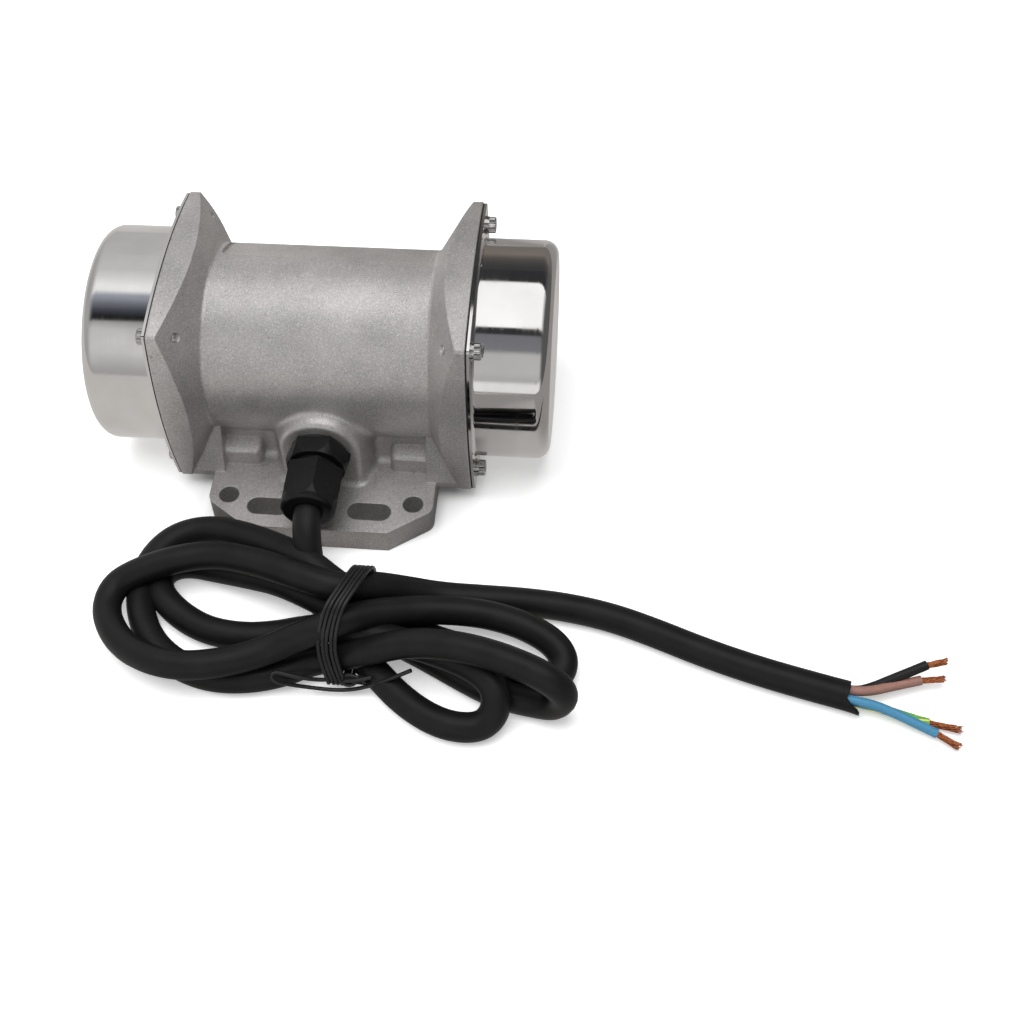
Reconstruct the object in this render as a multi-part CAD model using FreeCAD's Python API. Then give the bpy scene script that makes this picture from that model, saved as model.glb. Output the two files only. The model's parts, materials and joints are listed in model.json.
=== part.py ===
import FreeCAD, Part
import math
import os
from FreeCAD import Vector

# Three-phase vibration motor. Millimetres, +Z up, shaft along X, cable leaving towards -Y.
# The origin is the centre of the mounting face, the underside of the base plate.

# ---- base plate ----
plate_x = 72.9
plate_y = 108.3
plate_thick = 9.2
plate_cut_x = 13.5
plate_cut_y = 9.6
plate_corner_r = 4.0
bolt_r = 3.25
bolt_pitch_x = 60.0
bolt_pitch_y = 84.4
slot_r = 3.3
slot_length = 14.1
slot_pitch_x = 32.5
slot_pitch_y = 92.0

# ---- cast housing ----
barrel_r = 30.4
barrel_wall = 3.4
cover_step = 4.5
flange_inset = 2.0
flange_lift = 6.2
flange_face_x = 47.8
rim_width = 3.3
cone_length = 9.2
cone_over = 13.0
cone_trim = 3.0
cone_root_r = 1.6
flange_bulge = 4.0
flange_corner_r = 1.5
recess_inset = 1.3
recess_depth = 4.0
land_angle = 29.0
land_half_angle = 15.0
land_corner_r = 3.0
land_end_gap = 2.0
cut_over = 1.0

# ---- foot, webs, blocks and gland boss of the casting ----
foot_inset = 6.4
foot_root_r = 3.0
web_inner_x = 33.2
web_base_step = 2.6
web_top_inset = 3.0
web_top_drop = 13.2
web_under_z = 7.2
block_length = 12.0
block_front_inset = 1.1
block_front_z = 15.2
block_back_z = 17.8
block_edge_r = 2.2
block_end_r = 1.6
boss_step = 4.1
boss_sink = 1.0
boss_face_r = 12.6
boss_draft = 3.9
boss_edge_r = 2.0
boss_root_r = 2.4
gland_drop = 15.2
passage_r = 5.0

# ---- covers, gaskets and their screws ----
screw_edge = 5.3
screw_r = 1.5
screw_clearance = 0.2
screw_head_r = 2.6
screw_head_h = 2.8
screw_head_chamfer = 0.3
screw_socket_af = 2.5
screw_socket_depth = 1.7
screw_reach = 7.0
flat_washer_r = 3.0
flat_washer_t = 0.4
spring_washer_r = 2.75
spring_washer_t = 0.6
spring_split = 0.4
gasket_thick = 0.5
sheet = 0.8
cover_edge_r = 4.5
cover_root_r = 1.0
cover_end_gap = 3.2
lip_inset = 0.3

# ---- end shields and bearings ----
fit = 0.02
shield_hub_wall = 4.0
shield_web = 0.8
shield_spigot_depth = 5.0
shield_spigot_wall = 4.0
bearing_r = 16.0
bearing_bore_r = 6.0
bearing_width = 10.0
bearing_inset = 11.8
race_wall = 2.8
ball_r = 2.97
ball_count = 7
ball_groove_gap = 0.08
cage_wall = 1.6
cage_width = 7.6
pocket_gap = 0.1
end_washer_t = 0.6
end_washer_gap = 0.3
shield_screw_r = 1.5
shield_screw_head_r = 2.8
shield_screw_step = 2.9
shield_socket_af = 2.0
shield_socket_depth = 1.0
shield_screw_end_gap = 0.5
shield_screw_depth = 6.0
shield_hole_r = 7.2

# ---- stator, winding and rotor ----
core_half = 17.0
rotor_r = 14.7
air_gap = 0.3
slot_count = 12
slot_width = 5.2
slot_mouth = 2.2
slot_lip = 1.4
slot_depth = 7.2
lead_wire_r = 0.7
lead_pitch = 1.9
lead_count = 4
lead_gap = 0.35
lead_side_gap = 1.5
wedge_thick = 0.8
winding_gap = 0.25
head_start = 1.2
head_length = 11.0
head_inset = 2.0
head_clearance = 2.2
head_round = 2.2
bar_count = 16
bar_r = 1.3
bar_inset = 2.7
ring_thick = 5.0
ring_width = 4.3
ring_inset = 0.8

# ---- shaft and eccentric weights ----
shaft_mid_r = 7.5
shaft_over = 2.7
shaft_chamfer = 0.6
weight_clearance = 4.9
weight_hub_wall = 5.0
weight_gap = 1.2
fixed_weight_t = 8.0
moving_weight_t = 7.0
weight_start_gap = 2.5
weight_run_gap = 0.03
key_width = 4.0
key_half_height = 2.0
clamp_slit = 1.2
clamp_screw_r = 1.5
clamp_head_r = 2.75
clamp_head_h = 3.0
clamp_head_y = 3.6
clamp_shank = 9.0
clamp_grip = 0.4
clamp_step = 2.4
snap_ring_t = 1.0
snap_ring_r = 8.2
snap_opening = 5.0
snap_groove_depth = 0.5
snap_gap = 0.2
snap_side_gap = 0.05

# ---- cable gland ----
gland_af = 18.0
gland_hex_y = 6.2
gland_turn = 4.0
gland_corner_over = 0.2
gland_corner_fall = 2.0
gland_thread_r = 7.5
gland_thread_y = 8.0
gland_thread_end_gap = 0.3
gland_neck_r = 7.1
gland_neck_y = 8.5
gland_neck_wall = 1.2
gland_seat_t = 0.8
gland_gap = 2.0
nut_af = 17.0
nut_turn = 18.0
nut_y = 15.0
nut_hex_y = 9.0
nut_dome_r = 7.0
nut_steps = 6
nut_lip = 5.0
nut_gap = 0.15
claw_start_gap = 1.3
claw_end_gap = 5.6
claw_clearance = 0.1
sleeve_gap = 0.05
claw_wall = 0.7
claw_count = 8
claw_slit = 0.8

# ---- cable ----
cable_r = 4.4
cable_gap = 0.25
cable_start_inset = 5.0
cable_stop_gap = 1.0
bend_share = 0.45
core_wire_r = 1.4
core_ring_r = 2.05
core_start_run = 2.5
copper_r = 0.85
copper_splay = 1.25
copper_length = 9.5
hank_low_z = 18.2
hank_high_z = 27.0
hank_overlap = 1.0
tie_x = 13.6
tie_front_y = -104.7
tie_back_y = -72.1
tie_width = 7.0
tie_thick = 1.2
tie_gap = 0.3
tie_corner_r = 8.0
tie_tail_r = 0.6
knot_r = 1.8

# ---- sizes that follow from the ones above ----
stator_bore_r = barrel_r - barrel_wall
cover_r = barrel_r + cover_step
flange_half = cover_r - flange_inset
axis_z = flange_half + flange_lift
cone_rim_r = flange_half + cone_over
recess_r = cover_r - recess_inset
cone_start_x = flange_face_x - rim_width
cone_end_x = cone_start_x - cone_length
recess_x = flange_face_x - recess_depth
foot_half_y = barrel_r - foot_inset
web_base_y = barrel_r + web_base_step
web_top_y = barrel_r - web_top_inset
block_front_y = barrel_r - block_front_inset
boss_face_y = barrel_r + boss_step
boss_root_y = foot_half_y - boss_sink
gland_z = axis_z - gland_drop
screw_pitch_half = flange_half - screw_edge
gasket_x = flange_face_x + gasket_thick
lip_x = gasket_x + sheet
shield_hub_r = bearing_r + shield_hub_wall
shield_screw_pitch_r = stator_bore_r + shield_screw_step
bearing_inner_x = flange_face_x - bearing_inset
bearing_outer_x = bearing_inner_x + bearing_width
seat_x = bearing_outer_x + end_washer_t
stator_inner_r = rotor_r + air_gap
head_inner_r = stator_inner_r + head_inset
head_outer_r = stator_bore_r - head_clearance
bar_circle_r = rotor_r - bar_inset
ring_outer_r = rotor_r - ring_inset
ring_inner_r = ring_outer_r - ring_width
lead_angle = math.degrees(math.asin(gland_drop / (stator_bore_r - lead_wire_r)))
lead_line_r = head_outer_r + lead_wire_r
slot_turn = 90 + lead_angle + 180 / slot_count
fixed_weight_x = flange_face_x + weight_start_gap
moving_weight_x = fixed_weight_x + fixed_weight_t + weight_gap
snap_x = moving_weight_x + moving_weight_t + snap_gap
shaft_end_x = snap_x + shaft_over
cover_end_x = shaft_end_x + cover_end_gap
weight_r = cover_r - weight_clearance
weight_hub_r = bearing_bore_r + weight_hub_wall
clamp_offset = bearing_bore_r + clamp_step
gland_front_y = boss_face_y + gland_seat_t + gland_hex_y
nut_back_y = gland_front_y + gland_gap
nut_face_y = nut_back_y + nut_y
claw_start_y = gland_front_y + claw_start_gap
claw_end_y = nut_face_y - claw_end_gap
cable_start_y = nut_face_y - cable_start_inset
cable_stop_y = boss_face_y - gland_thread_y + cable_stop_gap

# The cable leaves the gland, drops to the surface and runs under the tied bundle.
lead_route = [(0, -cable_start_y, gland_z), (0, -nut_face_y - 2, gland_z), (0.9, -66.8, 20.8),
              (1.7, -70.6, 15.6), (2.9, -73.6, 10.4), (4.9, -77.6, 6.2), (7.8, -81, cable_r)]
# It comes out of the bundle again at the tie and lies on the surface up to the stripped end.
tail_route = [(14.6, -82.6, 20.8), (22, -79.3, 17.5), (30.9, -75.9, 11), (41.7, -73.6, 5.2),
              (54, -73.2, cable_r), (67.8, -73.3, cable_r), (81.5, -74.4, cable_r), (94.6, -77, cable_r),
              (107.6, -81.5, cable_r), (120.6, -86.7, cable_r), (134, -91.2, cable_r),
              (148.3, -95.2, cable_r), (162.6, -98.6, cable_r)]
# Stripped cores: where each one leaves the end of the sheath, as an angle, and its route from there.
core_routes = {
    "black": (60, [(169.8, -96.3, 5.8), (176.2, -93.2, 6.3), (181.5, -90.6, 7.1), (185.6, -88.8, 8)]),
    "brown": (330, [(169.9, -96, 2.7), (176.7, -93.9, 3.5), (184.2, -91.9, 4.4)]),
    "blue": (150, [(170.2, -101.3, 4.7), (176.2, -102.9, 3.5), (182, -105.3, 2.8), (187.5, -107.8, 2.3)]),
    "green_yellow": (240, [(170.3, -100.1, 1.8), (176.5, -100.6, 1.5), (181.7, -102, 1.5),
                           (185.8, -103.6, 1.6)]),
}
# The loops seen from above, in arcs over three points each: all of them, and those on top.
low_outline = [(-33.9, -49.1), (-50.4, -55.5), (-56.2, -67.7), (-64.8, -85.2), (-56.1, -102.4), (-45.1, -109.8),
               (-31.2, -112.9), (-9.5, -110.3), (10.2, -103.8), (17, -103.2), (23.9, -105.6), (31.7, -113.9),
               (41.4, -119.3), (58.9, -121.2), (66.8, -112.5), (79.4, -114.6), (86, -109.9), (85.2, -91.9),
               (76.9, -84.4), (59.4, -79.2), (41.7, -79), (27.9, -77.9), (16.1, -73.7), (4.2, -68.4),
               (-7.8, -61.9), (-19.8, -56.1)]
high_outline = [(-5.6, -96.2), (0.4, -101.8), (12.1, -103.1), (49.3, -104.9), (82.1, -113.5), (85.7, -108.8),
                (82.3, -103.2), (55.2, -94.8), (35.7, -82.5), (22, -74.9), (4.2, -69.2), (-7.6, -78.9)]
tie_left_tail = [(14.1, -105.3, 8), (8.2, -108.2, 6.6), (1.3, -110.2, 5), (-5.1, -111, 4)]
tie_right_tail = [tie_left_tail[0], (20, -109, 8.2), (26.8, -110.5, 9.6), (33.7, -109.1, 12.6),
                  (39.5, -106.7, 15)]

AXIS = Vector(0, 0, axis_z)
X = Vector(1, 0, 0)
Y = Vector(0, 1, 0)
Z = Vector(0, 0, 1)


# ================= shape helpers =================

os.makedirs("parts", exist_ok=True)


def export(shape, node):
    shape.exportStep("parts/%s.step" % node)


def fuse(shapes):
    """One solid from overlapping ones."""
    whole = shapes[0]
    for shape in shapes[1:]:
        whole = whole.fuse(shape)
    return whole.removeSplitter()


def block(x0, x1, y0, y1, z0, z1):
    return Part.makeBox(x1 - x0, y1 - y0, z1 - z0, Vector(x0, y0, z0))


def rod_x(radius, x0, x1, y=0.0, z=axis_z):
    """Cylinder along X between two stations."""
    return Part.makeCylinder(radius, x1 - x0, Vector(x0, y, z), X)


def rod_y(radius, y0, y1, x=0.0, z=gland_z):
    """Cylinder along Y between two stations."""
    return Part.makeCylinder(radius, y1 - y0, Vector(x, y0, z), Y)


def rod_z(radius, z0, z1, x, y):
    """Cylinder along Z between two heights."""
    return Part.makeCylinder(radius, z1 - z0, Vector(x, y, z0), Z)


def turned(profile):
    """Solid turned about the shaft axis from (x, radius) corners."""
    points = [Vector(x, 0, axis_z + r) for x, r in profile]
    face = Part.Face(Part.makePolygon(points + points[:1]))
    return face.revolve(AXIS, X, 360)


def turned_gland(profile):
    """Solid turned about the gland axis from (distance forward, radius) corners."""
    points = [Vector(0, -y, gland_z + r) for y, r in profile]
    face = Part.Face(Part.makePolygon(points + points[:1]))
    return face.revolve(Vector(0, 0, gland_z), Y, 360)


def filled(edges):
    return Part.Face(Part.Wire(edges))


def arc(a, middle, b):
    return Part.Arc(a, middle, b).toShape()


def line(a, b):
    return Part.makeLine(a, b)


def mirrored(shape, normal):
    return shape.mirror(Vector(0, 0, 0), normal)


def both_sides(shape):
    """The right-hand shape and its mirror image on the left."""
    return {"right": shape, "left": mirrored(shape, X)}


def about_axis(shape, angle):
    """Copy of a shape turned about the shaft axis, in degrees."""
    copy = shape.copy()
    copy.rotate(AXIS, X, angle)
    return copy


def hexagon_prism(across_flats, y0, y1, turn):
    """Hexagonal bar along the gland axis, from y0 to y1 towards the front."""
    radius = across_flats / math.sqrt(3)
    corners = []
    for i in range(6):
        angle = math.radians(60 * i + turn)
        corners.append(Vector(radius * math.cos(angle), -y0, gland_z + radius * math.sin(angle)))
    return Part.Face(Part.makePolygon(corners + corners[:1])).extrude(Vector(0, y0 - y1, 0))


def flange_outline(x, inset=0.0):
    """Square with four outward-bowed sides, in a plane across the shaft."""
    half = flange_half - inset
    reach = half + flange_bulge
    corners = [(half, half), (-half, half), (-half, -half), (half, -half)]
    middles = [(0, reach), (-reach, 0), (0, -reach), (reach, 0)]
    edges = []
    for i in range(4):
        a, m, b = corners[i], middles[i], corners[(i + 1) % 4]
        edges.append(arc(*[Vector(x, y, axis_z + z) for y, z in (a, m, b)]))
    return filled(edges)


def flange_plate(x0, x1, inset=0.0):
    """Slab of the flange outline with rounded corners."""
    slab = flange_outline(x0, inset).extrude(Vector(x1 - x0, 0, 0))
    upright = [e for e in slab.Edges if len(e.Vertexes) == 2 and abs(e.tangentAt(e.FirstParameter).x) > 0.99]
    return slab.makeFillet(flange_corner_r, upright)


def corner_places():
    """The four cover-screw places, as (y, z)."""
    s = screw_pitch_half
    return [(y, axis_z + z) for y in (-s, s) for z in (-s, s)]


# ================= cast housing =================

def round_body():
    """Barrel, two cones and two rims, turned and then cut square to the flange outline."""
    slope = cone_length / (cone_rim_r - barrel_r)
    top_r = cone_rim_r + cone_trim
    top_x = cone_start_x + cone_trim * slope
    turn = math.atan2(cone_rim_r - barrel_r, cone_length)
    trim = cone_root_r * math.tan(turn / 2)
    flat = Vector(cone_end_x - trim, 0, axis_z + barrel_r)
    up = Vector(cone_end_x + trim * math.cos(turn), 0, axis_z + barrel_r + trim * math.sin(turn))
    middle_x = cone_end_x - trim + cone_root_r * math.sin(turn / 2)
    middle = Vector(middle_x, 0, axis_z + barrel_r + cone_root_r * (1 - math.cos(turn / 2)))
    ring = [Vector(0, 0, axis_z), Vector(0, 0, axis_z + barrel_r), flat]
    rest = [up, Vector(top_x, 0, axis_z + top_r), Vector(flange_face_x, 0, axis_z + top_r)]
    rest.append(Vector(flange_face_x, 0, axis_z))
    edges = [line(ring[0], ring[1]), line(ring[1], flat), arc(flat, middle, up)]
    edges += [line(rest[0], rest[1]), line(rest[1], rest[2]), line(rest[2], rest[3]), line(rest[3], ring[0])]
    half = filled(edges).revolve(AXIS, X, 360)
    whole = half.fuse(mirrored(half, X)).removeSplitter()
    return whole.common(flange_plate(-flange_face_x, flange_face_x))


def base_plate():
    """Plate with cut corners and slightly rounded side corners."""
    hx, hy = plate_x / 2, plate_y / 2
    quarter = [(hx, hy - plate_cut_y), (hx - plate_cut_x, hy)]
    ring = quarter + [(-x, y) for x, y in reversed(quarter)]
    ring += [(-x, -y) for x, y in quarter] + [(x, -y) for x, y in reversed(quarter)]
    points = [Vector(x, y, 0) for x, y in ring]
    slab = Part.Face(Part.makePolygon(points + points[:1])).extrude(Vector(0, 0, plate_thick))
    sides = [e for e in slab.Edges if e.BoundBox.ZLength > 1 and abs(e.Vertexes[0].X) > hx - 1]
    return slab.makeFillet(plate_corner_r, sides)


def foot():
    """Upright walls that carry the barrel, with a cast radius onto the plate."""
    y, r, x = foot_half_y, foot_root_r, web_inner_x + 1.0
    k = r * (1 - math.sqrt(0.5))

    def at(py, pz):
        return Vector(-x, py, pz)
    base = plate_thick - 1.0
    t = plate_thick
    edges = [line(at(-y - r, base), at(-y - r, t)), arc(at(-y - r, t), at(-y - k, t + k), at(-y, t + r))]
    edges += [line(at(-y, t + r), at(-y, axis_z)), line(at(-y, axis_z), at(y, axis_z))]
    edges += [line(at(y, axis_z), at(y, t + r)), arc(at(y, t + r), at(y + k, t + k), at(y + r, t))]
    edges += [line(at(y + r, t), at(y + r, base)), line(at(y + r, base), at(-y - r, base))]
    return filled(edges).extrude(Vector(2 * x, 0, 0))


def web():
    """Leaning web that joins one flange to the plate."""
    top_z = axis_z - web_top_drop
    ring = [(-web_base_y, web_under_z), (-web_base_y, plate_thick), (-web_top_y, top_z)]
    ring += [(-y, z) for y, z in reversed(ring)]
    points = [Vector(web_inner_x, y, z) for y, z in ring]
    face = Part.Face(Part.makePolygon(points + points[:1]))
    return face.extrude(Vector(cone_start_x + 1.0 - web_inner_x, 0, 0))


def ledge():
    """Rounded block between a web and the foot."""
    back_y, base_z = 2 - foot_half_y, plate_thick - 3
    ring = [(back_y, base_z), (-block_front_y, base_z), (-block_front_y, block_front_z), (back_y, block_back_z)]
    x0 = web_inner_x - block_length
    points = [Vector(x0, y, z) for y, z in ring]
    body = Part.Face(Part.makePolygon(points + points[:1])).extrude(Vector(block_length + cut_over, 0, 0))
    front = [e for e in body.Edges if e.BoundBox.YMax < -block_front_y + 0.01 and e.BoundBox.ZMax > plate_thick
             and e.BoundBox.XMin < web_inner_x]
    body = body.makeFillet(block_edge_r, front)
    end = [e for e in body.Edges if e.BoundBox.XMax < x0 + 0.01 and e.BoundBox.ZMin > block_front_z
           and e.BoundBox.YLength > block_edge_r]
    return body.makeFillet(block_end_r, end)


def arch(y, radius):
    """Inverted-U outline around the gland axis, standing on the plate."""
    foot_z = plate_thick - 1.0
    left, right = Vector(-radius, -y, gland_z), Vector(radius, -y, gland_z)
    low_left, low_right = Vector(-radius, -y, foot_z), Vector(radius, -y, foot_z)
    crown = arc(left, Vector(0, -y, gland_z + radius), right)
    return Part.Wire([line(low_left, left), crown, line(right, low_right), line(low_right, low_left)])


def gland_boss():
    """Drafted boss with a rounded rim, under the gland."""
    body = Part.makeLoft([arch(boss_root_y, boss_face_r + boss_draft), arch(boss_face_y, boss_face_r)], True)
    rim = [e for e in body.Edges if e.BoundBox.YMax < -boss_face_y + 0.01 and e.BoundBox.ZMax > plate_thick]
    rim = [e for e in rim if e.BoundBox.ZMax > gland_z - 0.01]
    return body.makeFillet(boss_edge_r, rim)


def soft_boss_roots(body):
    """Cast radii where the gland boss meets the barrel, the foot and the plate."""
    reach = boss_face_r + boss_draft + 0.1
    skirt_z = plate_thick + foot_root_r

    def at_barrel(box):
        return box.YMin > -barrel_r - 0.1 and box.YLength > 0.3 and box.ZLength > 1 and box.ZMin > skirt_z + 1

    def at_foot(box):
        return box.YMin > -foot_half_y - 0.1 and box.XLength + box.YLength < 0.01 and box.ZLength > foot_root_r

    def at_plate(box):
        return abs(box.ZMin - plate_thick) + box.ZLength < 0.01 and box.YMax < 0.1 - foot_half_y - foot_root_r
    roots = []
    for edge in body.Edges:
        box = edge.BoundBox
        on_boss = max(-box.XMin, box.XMax) < reach and box.YMax < 0.1 - foot_half_y
        if on_boss and (at_barrel(box) or at_foot(box) or at_plate(box)):
            roots.append(edge)
    return body.makeFillet(boss_root_r, roots)


def plate_land():
    """What is milled away for the bare flat land behind the crown of the barrel."""
    depth = barrel_r * math.cos(math.radians(land_half_angle))
    half_width = barrel_r * math.sin(math.radians(land_half_angle))
    half_length = cone_end_x - land_end_gap
    cutter = block(-half_length, half_length, -half_width, half_width, axis_z + depth, axis_z + barrel_r + 2)
    upright = [e for e in cutter.Edges if e.BoundBox.ZLength > 1 and e.BoundBox.YLength < 0.01]
    return about_axis(cutter.makeFillet(land_corner_r, upright), -land_angle)


def plate_holes():
    """Bolt holes and slots through the plate."""
    cuts = []
    for sx in (-1, 1):
        for sy in (-1, 1):
            cuts.append(rod_z(bolt_r, -1, plate_thick + 1, sx * bolt_pitch_x / 2, sy * bolt_pitch_y / 2))
            x, y, half = sx * slot_pitch_x / 2, sy * slot_pitch_y / 2, slot_length / 2 - slot_r
            ends = [rod_z(slot_r, -1, plate_thick + 1, x + side * half, y) for side in (-1, 1)]
            middle = block(x - half, x + half, y - slot_r, y + slot_r, -1, plate_thick + 1)
            cuts.append(fuse([ends[0], middle, ends[1]]))
    return cuts


def housing():
    solids = [round_body(), base_plate(), foot(), gland_boss()]
    for shape in (web(), ledge(), mirrored(ledge(), Y)):
        solids += [shape, mirrored(shape, X)]
    body = soft_boss_roots(fuse(solids))
    cuts = plate_holes() + [plate_land(), rod_x(stator_bore_r, -flange_face_x, flange_face_x)]
    cuts.append(rod_x(recess_r, recess_x, flange_face_x + 1))
    cuts.append(rod_x(recess_r, -flange_face_x - 1, -recess_x))
    thread_end = gland_thread_y + gland_thread_end_gap - boss_face_y
    cuts.append(rod_y(gland_thread_r + fit, -boss_face_y - 1, thread_end))
    cuts.append(rod_y(passage_r, -boss_face_y, 0))
    for y, z in corner_places():
        cuts.append(rod_x(screw_r + fit, cone_end_x, flange_face_x + 1, y, z))
        cuts.append(rod_x(screw_r + fit, -flange_face_x - 1, -cone_end_x, y, z))
    for angle in range(0, 360, 90):
        hole = rod_x(shield_screw_r + fit, recess_x - shield_screw_depth, recess_x + 1, shield_screw_pitch_r)
        for side in (hole, mirrored(hole, X)):
            cuts.append(about_axis(side, angle))
    for cutter in cuts:
        body = body.cut(cutter)
    return body.removeSplitter()


# ================= covers, gaskets and fasteners =================

def gasket():
    ring = flange_plate(flange_face_x, gasket_x, lip_inset)
    ring = ring.cut(rod_x(cover_r, flange_face_x - 1, gasket_x + 1))
    for y, z in corner_places():
        ring = ring.cut(rod_x(screw_r + screw_clearance, flange_face_x - 1, gasket_x + 1, y, z))
    return ring


def cover_profile(outer_r, end_x, edge_r, start_x):
    """Drawn cup: wall, large edge radius and flat end, as a turned solid."""
    k = edge_r * (1 - math.sqrt(0.5))

    def at(x, r):
        return Vector(x, 0, axis_z + r)
    wall_end, end_start = at(end_x - edge_r, outer_r), at(end_x, outer_r - edge_r)
    edges = [line(at(start_x, 0), at(start_x, outer_r)), line(at(start_x, outer_r), wall_end)]
    edges += [arc(wall_end, at(end_x - k, outer_r - k), end_start), line(end_start, at(end_x, 0))]
    edges.append(line(at(end_x, 0), at(start_x, 0)))
    return filled(edges).revolve(AXIS, X, 360)


def cover_root():
    """Small outer radius where the drawn wall turns into the lip."""
    r = cover_root_r
    k = r * (1 - math.sqrt(0.5))

    def at(x, radius):
        return Vector(x, 0, axis_z + radius)
    inner = cover_r - sheet / 2
    edges = [line(at(lip_x, inner), at(lip_x, cover_r + r))]
    edges.append(arc(at(lip_x, cover_r + r), at(lip_x + k, cover_r + k), at(lip_x + r, cover_r)))
    edges += [line(at(lip_x + r, cover_r), at(lip_x + r, inner)), line(at(lip_x + r, inner), at(lip_x, inner))]
    return filled(edges).revolve(AXIS, X, 360).common(flange_plate(lip_x - 1, lip_x + r + 1, lip_inset))


def cover():
    lip = flange_plate(gasket_x, lip_x, lip_inset)
    cup = cover_profile(cover_r, cover_end_x, cover_edge_r, gasket_x)
    body = fuse([lip, cup, cover_root()])
    hollow = cover_profile(cover_r - sheet, cover_end_x - sheet, cover_edge_r - sheet, gasket_x - 1)
    body = body.cut(hollow)
    for y, z in corner_places():
        body = body.cut(rod_x(screw_r + screw_clearance, gasket_x - 1, lip_x + 1, y, z))
    return body.removeSplitter()


def hex_socket(across_flats, x0, x1, y, z):
    """Hexagonal hole cutter along X."""
    radius = across_flats / math.sqrt(3)
    points = []
    for i in range(6):
        angle = math.radians(60 * i)
        points.append(Vector(x0, y + radius * math.cos(angle), z + radius * math.sin(angle)))
    return Part.Face(Part.makePolygon(points + points[:1])).extrude(Vector(x1 - x0, 0, 0))


def cover_screw(y, z):
    seat = lip_x + flat_washer_t + spring_washer_t
    top = seat + screw_head_h
    shank = rod_x(screw_r, flange_face_x - screw_reach, seat + cut_over, y, z)
    head = rod_x(screw_head_r, seat, top, y, z)
    rim = [e for e in head.Edges if e.BoundBox.XMin > top - 0.01]
    head = head.makeChamfer(screw_head_chamfer, rim)
    return fuse([shank, head]).cut(hex_socket(screw_socket_af, top - screw_socket_depth, top + cut_over, y, z))


def flat_washer(y, z):
    ring = rod_x(flat_washer_r, lip_x, lip_x + flat_washer_t, y, z)
    return ring.cut(rod_x(screw_r + screw_clearance, lip_x - 1, lip_x + 2, y, z))


def spring_washer(y, z):
    """Split ring; the split faces away from the shaft."""
    x0 = lip_x + flat_washer_t
    ring = rod_x(spring_washer_r, x0, x0 + spring_washer_t, y, z)
    ring = ring.cut(rod_x(screw_r + screw_clearance, x0 - 1, x0 + 2, y, z))
    reach = 2 * spring_washer_r * (1 if y > 0 else -1)
    half = spring_split / 2
    gap = block(x0 - 1, x0 + 2, min(y, y + reach), max(y, y + reach), z - half, z + half)
    return ring.cut(gap)


def at_corners(make):
    return Part.Compound([make(y, z) for y, z in corner_places()])


# ================= end shields and bearings =================

def end_shield():
    spigot_x = recess_x - shield_spigot_depth
    outer_r = stator_bore_r - fit
    inner_r = outer_r - shield_spigot_wall
    web_x = recess_x - shield_web
    profile = [(flange_face_x, shield_hole_r), (flange_face_x, recess_r - fit), (recess_x, recess_r - fit)]
    profile += [(recess_x, outer_r), (spigot_x, outer_r), (spigot_x, inner_r), (web_x, inner_r)]
    profile += [(web_x, shield_hub_r), (bearing_inner_x, shield_hub_r), (bearing_inner_x, bearing_r + fit)]
    profile += [(seat_x, bearing_r + fit), (seat_x, shield_hole_r)]
    body = turned(profile)
    for angle in range(0, 360, 90):
        hole = rod_x(shield_screw_r + screw_clearance, recess_x - 2, flange_face_x + 1, shield_screw_pitch_r)
        sink = shield_sink(screw_clearance / 2)
        body = body.cut(about_axis(fuse([hole, sink]), angle))
    return body


def shield_sink(gap):
    """Countersink cone for one shield screw."""
    depth = shield_screw_head_r - shield_screw_r
    place = Vector(flange_face_x - depth, shield_screw_pitch_r, axis_z)
    return Part.makeCone(shield_screw_r + gap, shield_screw_head_r + gap, depth, place, X)


def shield_screws():
    tip_x = recess_x - shield_screw_depth + shield_screw_end_gap
    socket_x = flange_face_x - shield_socket_depth
    screw = fuse([rod_x(shield_screw_r, tip_x, socket_x, shield_screw_pitch_r), shield_sink(0)])
    screw = screw.cut(hex_socket(shield_socket_af, socket_x, flange_face_x + 1, shield_screw_pitch_r, axis_z))
    return Part.Compound([about_axis(screw, angle) for angle in range(0, 360, 90)])


def ball_middle():
    """Middle of the ball row, as (x, pitch radius)."""
    return bearing_inner_x + bearing_width / 2, (bearing_r + bearing_bore_r) / 2


def groove():
    x, pitch_r = ball_middle()
    return Part.makeTorus(pitch_r, ball_r + ball_groove_gap, Vector(x, 0, axis_z), X)


def race(inner_r, outer_r):
    ring = rod_x(outer_r, bearing_inner_x, bearing_outer_x)
    return ring.cut(rod_x(inner_r, bearing_inner_x - 1, bearing_outer_x + 1)).cut(groove())


def balls():
    x, pitch_r = ball_middle()
    row = []
    for i in range(ball_count):
        row.append(about_axis(Part.makeSphere(ball_r, Vector(x, 0, axis_z + pitch_r)), i * 360 / ball_count))
    return Part.Compound(row)


def ball_cage():
    x, pitch_r = ball_middle()
    x0, x1 = x - cage_width / 2, x + cage_width / 2
    ring = rod_x(pitch_r + cage_wall / 2, x0, x1).cut(rod_x(pitch_r - cage_wall / 2, x0 - 1, x1 + 1))
    for i in range(ball_count):
        place = Vector(x, 0, axis_z + pitch_r - cage_wall)
        pocket = Part.makeCylinder(ball_r + pocket_gap, 2 * cage_wall, place, Z)
        ring = ring.cut(about_axis(pocket, i * 360 / ball_count))
    return ring


def end_washer():
    """Ring between the bearing and the bottom of its seat."""
    ring = rod_x(bearing_r - end_washer_gap, bearing_outer_x, seat_x)
    return ring.cut(rod_x(bearing_r - race_wall, bearing_outer_x - 1, seat_x + 1))


# ================= stator, winding, rotor =================

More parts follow.
